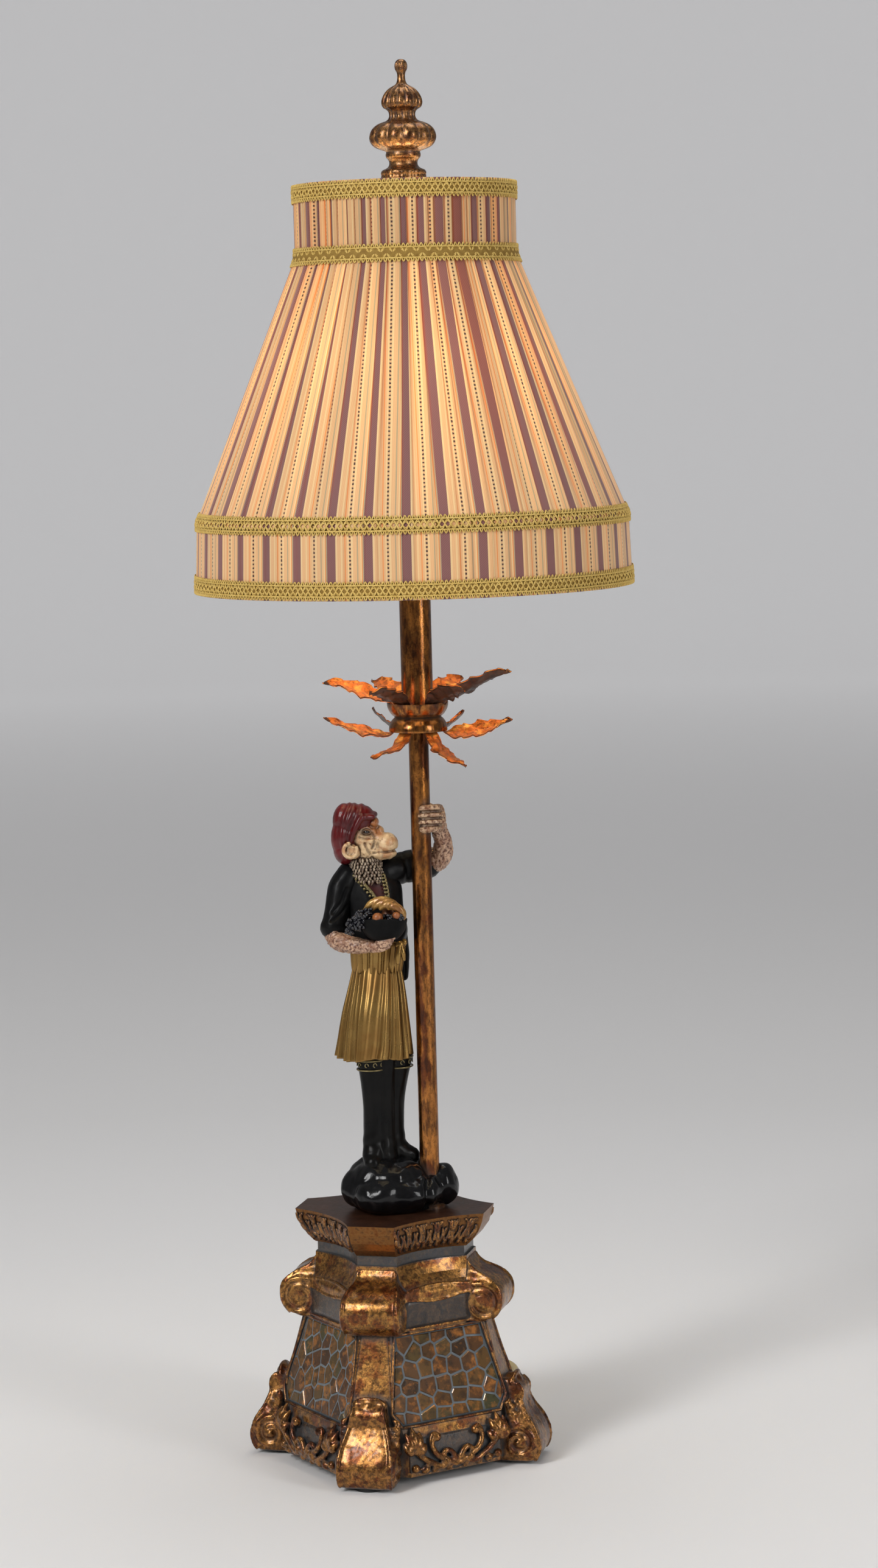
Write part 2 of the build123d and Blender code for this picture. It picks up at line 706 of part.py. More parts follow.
leg_z = socket_z + post_height + 0.2
with BuildPart() as harp_wire:
    with BuildLine() as harp_line:
        FilletPolyline(
            (-saddle_half, 0, leg_z),
            (-saddle_half, 0, leg_z + 38.0),
            (-harp_half, 0, leg_z + 74.0),
            (-harp_half, 0, leg_z + 128.0),
            (-20.0, 0, harp_top),
            (20.0, 0, harp_top),
            (harp_half, 0, leg_z + 128.0),
            (harp_half, 0, leg_z + 74.0),
            (saddle_half, 0, leg_z + 38.0),
            (saddle_half, 0, leg_z),
            radius=[30, 40, 40, 10, 10, 40, 40, 30],
        )
    with BuildSketch(Plane(origin=(-saddle_half, 0, leg_z), z_dir=(0, 0, 1))):
        Circle(harp_wire_radius)
    sweep(path=harp_line.line)
harp_wire.part.label = "harp_wire"
export_step(harp_wire.part, "parts/harp_wire.step")

seat_z = harp_top + harp_wire_radius
with BuildPart() as harp_stud:
    with BuildSketch(Plane.XY.offset(seat_z)):
        Circle(stud_seat_radius)
    extrude(amount=1.6)
    with BuildSketch(Plane.XY.offset(seat_z + 1.6)):
        Circle(stud_radius)
    extrude(amount=11.0)
harp_stud.part.label = "harp_stud"
export_step(harp_stud.part, "parts/harp_stud.step")

with BuildPart() as harp_sleeve_left:
    with BuildSketch(Plane(origin=(-saddle_half, 0, socket_z + 0.3))):
        Circle(sleeve_radius)
        Circle(post_radius + sleeve_slip, mode=Mode.SUBTRACT)
    extrude(amount=sleeve_length)
harp_sleeve_left.part.label = "harp_sleeve_left"
export_step(harp_sleeve_left.part, "parts/harp_sleeve_left.step")

with BuildPart() as harp_sleeve_right:
    add(mirror(harp_sleeve_left.part, about=Plane.YZ, mode=Mode.PRIVATE))
harp_sleeve_right.part.label = "harp_sleeve_right"
export_step(harp_sleeve_right.part, "parts/harp_sleeve_right.step")

# ---------------------------------------------------------------- shade
cloth_line = [
    (collar_radius, shade_top),
    (collar_radius, shade_collar),
    (break_radius, shade_break),
    (hem_radius, shade_bottom),
]


def cloth_radius(z):
    """Outer radius of the shade's cloth at a height."""
    for (near, high), (far, low) in zip(cloth_line, cloth_line[1:]):
        if low <= z <= high:
            return near + (far - near) * (high - z) / (high - low)
    return hem_radius


ring_z = shade_top - frame_wire - 2.5  # centre of the top ring
liner_top = ring_z - frame_wire - 0.4  # the liner ends under the spider's arms


def skin(outside, thickness, top):
    """Half section of a turned skin whose outer face lies `outside` within the cloth's outer face."""
    outer = [(collar_radius - outside, top)] + [(r - outside, z) for r, z in cloth_line[1:]]
    inner = [(r - thickness, z) for r, z in outer]
    return outer + inner[::-1]


with BuildPart() as shade_cover:
    with BuildSketch(Plane.XZ):
        with BuildLine():
            Polyline(skin(0.0, cloth, shade_top), close=True)
        make_face()
    revolve(axis=Axis.Z)
shade_cover.part.label = "shade_cover"
export_step(shade_cover.part, "parts/shade_cover.step")

with BuildPart() as shade_liner:
    with BuildSketch(Plane.XZ):
        with BuildLine():
            Polyline(skin(liner_gap, liner_cloth, liner_top), close=True)
        make_face()
    revolve(axis=Axis.Z)
shade_liner.part.label = "shade_liner"
export_step(shade_liner.part, "parts/shade_liner.step")

wire_inset = cloth + (liner_gap - cloth) / 2
trim_levels = [
    ("shade_trim_top", shade_top - trim_height / 2),
    ("shade_trim_collar", shade_collar),
    ("shade_trim_break", shade_break),
    ("shade_trim_hem", shade_bottom + trim_height / 2),
]
for trim_name, trim_z in trim_levels:
    with BuildPart() as trim:
        low = trim_z - trim_height / 2
        high = trim_z + trim_height / 2
        levels = [low] + [z for _, z in reversed(cloth_line) if low < z < high] + [high]
        inner_edge = [(cloth_radius(z), z) for z in levels]
        outer_edge = [(cloth_radius(z) + trim_thickness, z) for z in levels]
        with BuildSketch(Plane.XZ):
            with BuildLine():
                Polyline(inner_edge + outer_edge[::-1], close=True)
            make_face()
        revolve(axis=Axis.Z)
    trim.part.label = trim_name
    export_step(trim.part, f"parts/{trim_name}.step")

hub_z = seat_z + 1.6 + 0.2
hub_thickness = 2.0
with BuildPart() as shade_spider:
    with BuildSketch(Plane.XY.offset(hub_z)):
        Circle(stud_seat_radius)
        Circle(stud_radius + 0.3, mode=Mode.SUBTRACT)
    extrude(amount=hub_thickness)
    with BuildSketch(Plane.XZ):
        with Locations((collar_radius - wire_inset, ring_z)):
            Circle(frame_wire)
    revolve(axis=Axis.Z)
    for step in range(3):
        turn = radians(30 + 120 * step)
        inner = Vector(6.5 * cos(turn), 6.5 * sin(turn), hub_z + hub_thickness / 2)
        ring = collar_radius - wire_inset
        outer = Vector(ring * cos(turn), ring * sin(turn), ring_z)
        with BuildSketch(Plane(origin=inner, z_dir=outer - inner)):
            Circle(arm_wire)
        extrude(amount=(outer - inner).length)
shade_spider.part.label = "shade_spider"
export_step(shade_spider.part, "parts/shade_spider.step")

with BuildPart() as shade_frame:
    hem_ring_z = shade_bottom + frame_wire + 1.5
    frame_line = [
        (collar_radius - wire_inset, ring_z - frame_wire - 0.05),
        (collar_radius - wire_inset, shade_collar),
        (break_radius - wire_inset, shade_break),
        (cloth_radius(hem_ring_z) - wire_inset, hem_ring_z),
    ]
    for radius, z in frame_line[1:]:
        with BuildSketch(Plane.XZ):
            with Locations((radius, z)):
                Circle(frame_wire)
        revolve(axis=Axis.Z)
    rib_outer = [(r + rib_wire, z) for r, z in frame_line]
    rib_inner = [(r - rib_wire, z) for r, z in frame_line]
    for step in range(rib_count):
        turn = radians(360 / rib_count * (step + 0.5))
        with BuildSketch(Plane(origin=(0, 0, 0), x_dir=(cos(turn), sin(turn), 0), z_dir=(sin(turn), -cos(turn), 0))):
            with BuildLine():
                Polyline(rib_outer + rib_inner[::-1], close=True)
            make_face()
        extrude(amount=rib_wire, both=True)
shade_frame.part.label = "shade_frame"
export_step(shade_frame.part, "parts/shade_frame.step")

finial_seat = hub_z + hub_thickness + 0.4
with BuildPart() as finial:
    # turned body: radius and height, from its seat up to the tip
    with BuildSketch(Plane.XZ):
        with BuildLine():
            Polyline((0, finial_seat), (9.0, finial_seat), (9.0, 815.5), (12.2, 816.0), (14.2, 817.8), (14.2, 822.6))
            ThreePointArc((14.2, 822.6), (10.0, 824.3), (8.9, 826.2))
            ThreePointArc((8.9, 826.2), (9.3, 829.0), (10.5, 830.2))
            Polyline((10.5, 830.2), (10.5, 834.6), (13.8, 835.8))
            ThreePointArc((13.8, 835.8), (19.6, 838.4), (21.4, 842.8))
            ThreePointArc((21.4, 842.8), (18.6, 850.0), (11.0, 853.0))
            ThreePointArc((11.0, 853.0), (8.6, 854.8), (8.4, 857.2))
            ThreePointArc((8.4, 857.2), (9.0, 859.2), (10.2, 860.7))
            ThreePointArc((10.2, 860.7), (13.2, 864.4), (12.0, 868.6))
            ThreePointArc((12.0, 868.6), (8.4, 873.4), (3.6, 875.6))
            ThreePointArc((3.6, 875.6), (2.3, 878.4), (2.6, 882.0))
            Polyline((2.6, 882.0), (3.9, 884.6), (4.2, 887.0), (3.3, 889.6), (1.5, 891.1), (0, finial_top))
            Line((0, finial_top), (0, finial_seat))
        make_face()
    revolve(axis=Axis.Z)
    with BuildSketch(Plane.XY.offset(finial_seat)):
        Circle(stud_radius + slip)
    extrude(amount=9.6, mode=Mode.SUBTRACT)
finial.part.label = "finial"
export_step(finial.part, "parts/finial.step")

# ---------------------------------------------------------------- cord
cord_radius = cord_diameter / 2
bushing_outer = bushing_inner + bushing_out * bushing_length

with BuildPart() as cord_bushing:
    with BuildSketch(Plane(origin=bushing_inner, z_dir=bushing_out)):
        Circle(bushing_root)
    with BuildSketch(Plane(origin=bushing_outer, z_dir=bushing_out)):
        Circle(bushing_tip)
    loft(ruled=True)
    with BuildSketch(Plane(origin=bushing_inner, z_dir=bushing_out)):
        Circle(cord_radius + 0.05)
    extrude(amount=bushing_length, mode=Mode.SUBTRACT)
    # the casting's hole is straight, so only the part outside the apron tapers
    with BuildSketch(Plane(origin=bushing_inner, z_dir=bushing_out)):
        Circle(bushing_root)
        Circle(cord_radius + 0.05, mode=Mode.SUBTRACT)
    extrude(amount=wall + apron_thickness)
cord_bushing.part.label = "cord_bushing"
export_step(cord_bushing.part, "parts/cord_bushing.step")


def bend_radii(points):
    """The largest arc that both runs at a corner allow, for each inner point."""
    radii = []
    for before, here, after in zip(points, points[1:], points[2:]):
        turn = (here - before).get_angle(after - here)
        shorter = min((here - before).length, (after - here).length)
        radii.append(0.45 * shorter / tan(radians(turn / 2)))
    return radii


def cord_tube(points, label):
    """A round cord along straight runs joined by tangent arcs, printed with its radii."""
    radii = bend_radii(points)
    with BuildPart(mode=Mode.PRIVATE) as tube:
        with BuildLine() as route:
            FilletPolyline(points, radius=radii)
        with BuildSketch(Plane(origin=points[0], z_dir=points[1] - points[0])):
            Circle(cord_radius)
        sweep(path=route.line)
    run = route.wire().length
    expected = pi * cord_radius**2 * run
    print(label, "length", round(run, 1), "radii", [round(r, 1) for r in radii])
    print(label, "volume over section times length", round(tube.part.volume / expected, 4))
    return tube.part


# inside the lamp: from the bushing to the middle of the rod, then straight up to the socket
inner_points = [
    bushing_outer,
    bushing_inner - bushing_out * 6,
    Vector(-26.0, 12.0, 52.0),
    Vector(0, 0, 88.0),
    Vector(0, 0, rod_top - 1.0),
]
with BuildPart() as inner_lead:
    with BuildLine() as inner_route:
        FilletPolyline(inner_points, radius=[12.0, 22.0, 30.0])
    with BuildSketch(Plane(origin=bushing_outer, z_dir=bushing_out * -1)):
        Circle(cord_radius)
    sweep(path=inner_route.line)
inner_lead.part.label = "inner_lead"
export_step(inner_lead.part, "parts/inner_lead.step")

# the coil: it winds in on the table, climbs where it turns back, and winds out again on top
coil_start_angle = -110.0
half_climb = 0.25
layer_turns = coil_turns / 2 - half_climb
layer_rise = turn_pitch


def coil_state(turns):
    """Radius and height after some turns."""
    inner = coil_outer - turn_pitch * layer_turns
    if turns <= layer_turns:
        return coil_outer - turn_pitch * turns, cord_rest
    if turns >= layer_turns + 2 * half_climb:
        return inner + turn_pitch * (turns - layer_turns - 2 * half_climb), cord_rest + layer_rise
    share = (turns - layer_turns) / (2 * half_climb)
    radius = inner - turn_pitch * 2 * half_climb * share * (1 - share)
    return radius, cord_rest + layer_rise * share * share * (3 - 2 * share)


def coil_point(turns):
    radius, z = coil_state(turns)
    angle = radians(coil_start_angle + 360 * turns)
    return seen(coil_centre[0] + radius * cos(angle), coil_centre[1] + radius * sin(angle), z)


def coil_tangent(turns):
    step = 1e-4
    low = max(turns - step, 0.0)
    high = min(turns + step, coil_turns)
    return (coil_point(high) - coil_point(low)).normalized()


def biarc_joint(start, start_dir, end, end_dir):
    """Where two arcs, tangent to the given directions, meet, and their direction there."""
    chord = end - start
    both = start_dir + end_dir
    spread = 2 * (1 - start_dir.dot(end_dir))
    reach = (-chord.dot(both) + sqrt(chord.dot(both) ** 2 + spread * chord.dot(chord))) / spread
    near = start + start_dir * reach
    far = end - end_dir * reach
    return (near + far) * 0.5, (far - near).normalized()


layer_quarters = round(layer_turns * 4)
stops = [layer_turns * step / layer_quarters for step in range(layer_quarters + 1)]
stops += [layer_turns + half_climb]
stops += [layer_turns + 2 * half_climb + stop for stop in stops[: layer_quarters + 1]]

coil_in = coil_point(0) - coil_tangent(0) * cord_diameter
coil_out = coil_point(coil_turns) + coil_tangent(coil_turns) * cord_diameter
with BuildPart() as cord_coil:
    with BuildLine() as coil_line:
        Line(coil_in, coil_point(0))
        for low, high in zip(stops, stops[1:]):
            joint, joint_dir = biarc_joint(coil_point(low), coil_tangent(low), coil_point(high), coil_tangent(high))
            TangentArc(coil_point(low), joint, tangent=coil_tangent(low))
            TangentArc(joint, coil_point(high), tangent=joint_dir)
        Line(coil_point(coil_turns), coil_out)
    with BuildSketch(Plane(origin=coil_in, z_dir=coil_tangent(0))):
        Circle(cord_radius)
    sweep(path=coil_line.line)
cord_coil.part.label = "cord_coil"
export_step(cord_coil.part, "parts/cord_coil.step")
coil_wire = coil_line.wire()
coil_length = coil_wire.length
samples = [coil_wire.position_at(step / 600) for step in range(601)]
apart = 2.5 * cord_diameter
least = min(
    (a - b).length
    for i, a in enumerate(samples)
    for j, b in enumerate(samples)
    if (j - i) * coil_length / 600 > apart
)
print("coil length", round(coil_length, 1), "least gap", round(least - cord_diameter, 2))
print("coil volume ratio", round(cord_coil.part.volume / (pi * cord_radius**2 * coil_length), 4))

with BuildPart() as cord_tie:
    # a flat strap round all the turns, on the side away from the lamp
    tie_angle = radians(70.0)
    tie_middle = coil_outer - turn_pitch * layer_turns / 2
    tie_half = turn_pitch * layer_turns / 2 + cord_radius + 1.2
    tie_thickness = 0.4
    tie_top = cord_rest + layer_rise + cord_radius + 0.3
    tie_at = seen(
        coil_centre[0] + tie_middle * cos(tie_angle), coil_centre[1] + tie_middle * sin(tie_angle), 0
    )
    across = seen(cos(tie_angle), sin(tie_angle), 0)
    along = seen(-sin(tie_angle), cos(tie_angle), 0)
    with BuildSketch(Plane(origin=tie_at - along * 5, x_dir=across * -1, z_dir=along)):
        tie_low = 0.05
        tie_high = tie_top + tie_thickness
        with Locations((0, (tie_low + tie_high) / 2)):
            Rectangle(2 * tie_half + 2 * tie_thickness, tie_high - tie_low)
            Rectangle(2 * tie_half, tie_high - tie_low - 2 * tie_thickness, mode=Mode.SUBTRACT)
    extrude(amount=10)
cord_tie.part.label = "cord_tie"
export_step(cord_tie.part, "parts/cord_tie.step")

# the stretch between the lamp and the coil
lead_points = [
    bushing_outer,
    bushing_outer + bushing_out * 14.0,
    seen(-84.5, 115.5, 9.6),
    seen(-77.5, 133.5, 4.2),
    seen(-62.0, 142.0, cord_rest),
    seen(-42.0, 137.0, cord_rest),
    coil_in - coil_tangent(0) * 14.0,
    coil_in,
]
with BuildPart() as cord_lead:
    add(cord_tube(lead_points, "cord_lead"))
cord_lead.part.label = "cord_lead"
export_step(cord_lead.part, "parts/cord_lead.step")

# the stretch between the coil and the plug, which comes down to the table beside the coil
tail_end = seen(-70.0, 176.0, plug_height / 2 + 0.2)
tail_points = [
    coil_out,
    coil_out + coil_tangent(coil_turns) * 14.0,
    seen(-46.0, 192.5, 8.6),
    seen(-60.5, 187.0, plug_height / 2 + 0.2),
    tail_end,
]
with BuildPart() as cord_tail:
    add(cord_tube(tail_points, "cord_tail"))
cord_tail.part.label = "cord_tail"
export_step(cord_tail.part, "parts/cord_tail.step")

plug_dir = (tail_points[-1] - tail_points[-2]).normalized()
plug_flat = Vector(plug_dir.X, plug_dir.Y, 0).normalized()
with BuildPart() as plug_body:
    with BuildSketch(Plane(origin=tail_end, z_dir=plug_dir)):
        Circle(cord_radius + 0.9)
    with BuildSketch(Plane(origin=tail_end + plug_dir * 14, z_dir=plug_dir)):
        Circle(cord_radius + 1.8)
    loft(ruled=True)
    block_start = tail_end + plug_dir * 14
    with BuildSketch(
        Plane(origin=block_start, x_dir=Vector(-plug_dir.Y, plug_dir.X, 0), z_dir=plug_dir)
    ):
        RectangleRounded(plug_width, plug_height, 4)
    extrude(amount=plug_length - 4)
plug_body.part.label = "plug_body"
export_step(plug_body.part, "parts/plug_body.step")

with BuildPart() as plug_blades:
    blade_start = block_start + plug_dir * (plug_length - 4)
    with BuildSketch(
        Plane(origin=blade_start, x_dir=Vector(-plug_dir.Y, plug_dir.X, 0), z_dir=plug_dir)
    ):
        with Locations((6.35, 0), (-6.35, 0)):
            Rectangle(1.5, 6.35)
    extrude(amount=16)
plug_blades.part.label = "plug_blades"
export_step(plug_blades.part, "parts/plug_blades.step")

# ---------------------------------------------------------------- the figure
def round_loft(sections):
    """A smooth body through level ellipses: right, back, height, half width, half depth."""
    with BuildPart(mode=Mode.PRIVATE) as solid:
        for u, v, z, wide, deep in sections:
            with BuildSketch(seen_plane(u, v, z)):
                Ellipse(wide, deep)
        loft()
    return solid.part


def limb(knots, swell=1.02):
    """A round limb through knots: right, back, height, radius. Its joints swell a little."""
    with BuildPart(mode=Mode.PRIVATE) as solid:
        for near, far in zip(knots, knots[1:]):
            start = seen(*near[:3])
            end = seen(*far[:3])
            with BuildSketch(Plane(origin=start, z_dir=end - start)):
                Circle(near[3])
            with BuildSketch(Plane(origin=end, z_dir=end - start)):
                Circle(far[3])
            loft(ruled=True)
        for u, v, z, radius in knots:
            with Locations(seen(u, v, z)):
                Sphere(radius * swell)
    return solid.part


hem_z = 262.0
sash_low = 319.0
sash_high = 331.0
neck_z = 384.0
pole_clear = pole_radius + slip

with BuildPart() as boots:
    add(limb([(-36, -4, 268, 8.6), (-36, -3, 208, 6.5), (-36, -4, 197, 6.2), (-36, -17, 194, 5.2)]))
    add(limb([(-20, 5, 268, 8.4), (-24, 6, 208, 6.3), (-23, 6, 198, 6.0), (-12.8, 6, 196, 4.8)]))
    split(bisect_by=Plane.XY.offset(hem_z), keep=Keep.BOTTOM)
boots.part.label = "boots"
export_step(boots.part, "parts/boots.step")

with BuildPart() as rock_mound:
    rock = [
        (-21, 2, platform_z, 33, 30),
        (-21, 2, 170, 36, 33),
        (-21, 2, 180, 34, 31),
        (-22, 2, 189, 27, 24),
        (-24, 2, 196, 15, 13),
    ]
    add(round_loft(rock))
    with BuildSketch(Plane.XY.offset(platform_z)):
        Circle(pole_clear)
    extrude(amount=60, mode=Mode.SUBTRACT)
    with BuildSketch(Plane.XY.offset(platform_z)):
        Circle(ring_radius + slip)
    extrude(amount=ring_height + slip, mode=Mode.SUBTRACT)
    add(boots.part, mode=Mode.SUBTRACT)
rock_mound.part.label = "rock_mound"
export_step(rock_mound.part, "parts/rock_mound.step")

with BuildPart() as skirt:
    add(round_loft([(-34, 2, hem_z, 24, 20), (-32.5, 2, 290, 20.5, 17.5), (-30.5, 3, sash_low, 15.5, 12.5)]))
skirt.part.label = "skirt"
export_step(skirt.part, "parts/skirt.step")

with BuildPart() as waist_sash:
    add(
        round_loft(
            [(-30.5, 3, sash_low, 15.8, 13), (-30.5, 3, (sash_low + sash_high) / 2, 17, 14), (-30, 3, sash_high, 16, 13)]
        )
    )
waist_sash.part.label = "waist_sash"
export_step(waist_sash.part, "parts/waist_sash.step")

with BuildPart() as jacket:
    coat = [
        (-30, 3, sash_high, 16.5, 13.5),
        (-29.5, 4, 342, 19.5, 14.5),
        (-32, 5, 358, 19.5, 14.5),
        (-34, 6, 374, 20.5, 12.5),
        (-35, 5, neck_z, 9.5, 8),
    ]
    add(round_loft(coat))
jacket.part.label = "jacket"
export_step(jacket.part, "parts/jacket.step")

bowl_at = (-25.0, -25.0)
bowl_low = 332.0
bowl_rim = 345.0
with BuildPart() as bowl:
    with BuildSketch(Plane(origin=seen(*bowl_at, 0), x_dir=(1, 0, 0), z_dir=(0, -1, 0))):
        with BuildLine():
            Polyline((0, bowl_low), (6.5, bowl_low), (12.0, bowl_low + 4.0), (16.0, bowl_rim), (14.6, bowl_rim))
            Polyline((14.6, bowl_rim), (10.5, bowl_low + 6.0), (0, bowl_low + 4.5), (0, bowl_low))
        make_face()
    revolve(axis=Axis(seen(*bowl_at, 0), (0, 0, 1)))
    add(jacket.part, mode=Mode.SUBTRACT)
bowl.part.label = "bowl"
export_step(bowl.part, "parts/bowl.step")

with BuildPart() as fruit:
    # an orange fruit and three bananas that fill the bowl
    with Locations(seen(-24.5, -26.5, 344.5)):
        Sphere(7.6)
    with Locations(seen(-31.5, -23.5, 345.5)):
        Sphere(5.2)
    for shift in (0.0, 5.0, 10.0):
        add(limb([(-27 + shift, -22, 342, 3.6), (-22 + shift, -22.5, 352, 3.4), (-21.5 + shift, -23, 360, 2.4)]))
    add(bowl.part, mode=Mode.SUBTRACT)
    add(jacket.part, mode=Mode.SUBTRACT)
fruit.part.label = "fruit"
export_step(fruit.part, "parts/fruit.step")

with BuildPart() as carrying_arm:
    sleeve = [(-49, 4, 373, 8.4), (-57.5, -1, 347, 8.6), (-58, -6, 337, 7.4), (-41, -19, 328, 6.2)]
    add(limb(sleeve + [(-25, -25, 325.5, 6.0)]))
    for piece in (jacket, waist_sash, skirt, bowl):
        add(piece.part, mode=Mode.SUBTRACT)
carrying_arm.part.label = "carrying_arm"
export_step(carrying_arm.part, "parts/carrying_arm.step")

with BuildPart() as grapes:
    # the outer form of a bunch that hangs over the bowl's rim
    add(limb([(-38.5, -27, 348.5, 5.2), (-45, -28, 346, 5.6)]))
    for piece in (bowl, fruit, carrying_arm, jacket):
        add(piece.part, mode=Mode.SUBTRACT)
grapes.part.label = "grapes"
export_step(grapes.part, "parts/grapes.step")

with BuildPart() as head:
    with Locations(seen(-37, 4, 400)):
        Sphere(12.8)
    add(limb([(-29, 3, 396.5, 8.6), (-19.8, 1.5, 395, 6.2)]))
    with Locations(seen(-43, -7.5, 395), seen(-43, 15.5, 395)):
        Sphere(3.8)
    with BuildSketch(seen_plane(-35, 5, neck_z)):
        Ellipse(9.5, 8)
    extrude(amount=12)
head.part.label = "head"
export_step(head.part, "parts/head.step")

with BuildPart() as raised_arm:
    # it passes behind the pole and the fist closes round it
    reach_out = [(-24, 9, 378, 10.6), (-2, 18.5, 382, 11.2), (10.5, 16.5, 385, 9.8), (12, 10.5, 396, 6.4)]
    add(limb(reach_out + [(10.5, 5, 406, 5.8)], 1.06))
    with Locations(seen(7.5, -0.5, 413)):
        Sphere(10.5)
    with BuildSketch(Plane.XY.offset(340)):
        Circle(pole_clear)
    extrude(amount=100, mode=Mode.SUBTRACT)
    for piece in (jacket, head):
        add(piece.part, mode=Mode.SUBTRACT)
raised_arm.part.label = "raised_arm"
export_step(raised_arm.part, "parts/raised_arm.step")

with BuildPart() as cap:
    with Locations(seen(-41.5, 4, 413)):
        Sphere(13.8)
    with Locations(seen(-47, 5, 400)):
        Sphere(11.8)
    for piece in (head, jacket, carrying_arm, raised_arm):
        add(piece.part, mode=Mode.SUBTRACT)
cap.part.label = "cap"
export_step(cap.part, "parts/cap.step")
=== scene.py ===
import math
import random

import bpy
import numpy as np
from mathutils import Matrix, Vector, noise


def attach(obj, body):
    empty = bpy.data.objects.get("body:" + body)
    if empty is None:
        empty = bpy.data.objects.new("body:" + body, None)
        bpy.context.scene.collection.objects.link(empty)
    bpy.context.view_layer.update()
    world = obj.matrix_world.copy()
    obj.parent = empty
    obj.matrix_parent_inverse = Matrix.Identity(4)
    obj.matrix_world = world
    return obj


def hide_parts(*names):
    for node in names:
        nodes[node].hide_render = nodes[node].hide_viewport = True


# Every length in this script is in millimetres until mesh_piece() and the curves turn it into metres.
MM = 0.001
FRONT_TURN = math.radians(13.6)  # the lamp's front is turned this far from the X axis
PLINTH_X = -24.0

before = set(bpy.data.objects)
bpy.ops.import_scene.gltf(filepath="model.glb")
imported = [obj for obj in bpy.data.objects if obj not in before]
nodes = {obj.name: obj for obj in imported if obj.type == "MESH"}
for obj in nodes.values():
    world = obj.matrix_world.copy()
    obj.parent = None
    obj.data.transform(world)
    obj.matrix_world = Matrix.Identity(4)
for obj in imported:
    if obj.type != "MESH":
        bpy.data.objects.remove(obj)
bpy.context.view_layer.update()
scene = bpy.context.scene
scene.view_settings.view_transform = "Standard"


# ---------------------------------------------------------------- camera, floor and light
PHOTO_HEIGHT = 2576
FOCAL_PX = 6233.8
SENSOR = 36.0
CAMERA_PITCH = math.radians(6.17)
CAMERA_ROLL = math.radians(1.47)
CAMERA_SEEN = (12.3, -2400.0, 696.0)


def seen(u, v, z):
    """A point given to the right, to the back and up, as seen from the lamp's front."""
    c = math.cos(FRONT_TURN)
    s = math.sin(FRONT_TURN)
    return np.array([u * c - v * s, u * s + v * c, z], float)


def add_camera():
    data = bpy.data.cameras.new("camera")
    camera = bpy.data.objects.new("camera", data)
    scene.collection.objects.link(camera)
    data.sensor_fit = "AUTO"
    data.sensor_width = SENSOR
    data.lens = FOCAL_PX / PHOTO_HEIGHT * SENSOR
    data.clip_end = 50
    forward = Vector(seen(0, math.cos(CAMERA_PITCH), -math.sin(CAMERA_PITCH)))
    right = forward.cross(Vector((0, 0, 1))).normalized()
    up = right.cross(forward).normalized()
    c = math.cos(CAMERA_ROLL)
    s = math.sin(CAMERA_ROLL)
    across = right * c - up * s
    upward = right * s + up * c
    place = Matrix((across, upward, -forward)).transposed().to_4x4()
    place.translation = Vector(seen(*CAMERA_SEEN)) * MM
    camera.matrix_world = place
    scene.camera = camera


def smooth_all(mesh, on=True):
    mesh.polygons.foreach_set("use_smooth", [on] * len(mesh.polygons))


def simple_material(name, color, rough=0.8):
    mat = bpy.data.materials.new(name)
    mat.use_nodes = True
    shader = mat.node_tree.nodes["Principled BSDF"]
    shader.inputs["Base Color"].default_value = (*color, 1)
    shader.inputs["Roughness"].default_value = rough
    return mat


# the stage, in metres
FLOOR_RADIUS = 6.5
FLOOR_BEND = 2.0
WALL_TOP = 9.0
FLOOR_TONE = (0.80, 0.79, 0.785)
WALL_GLOW = (0.93, 0.93, 0.95, 1)


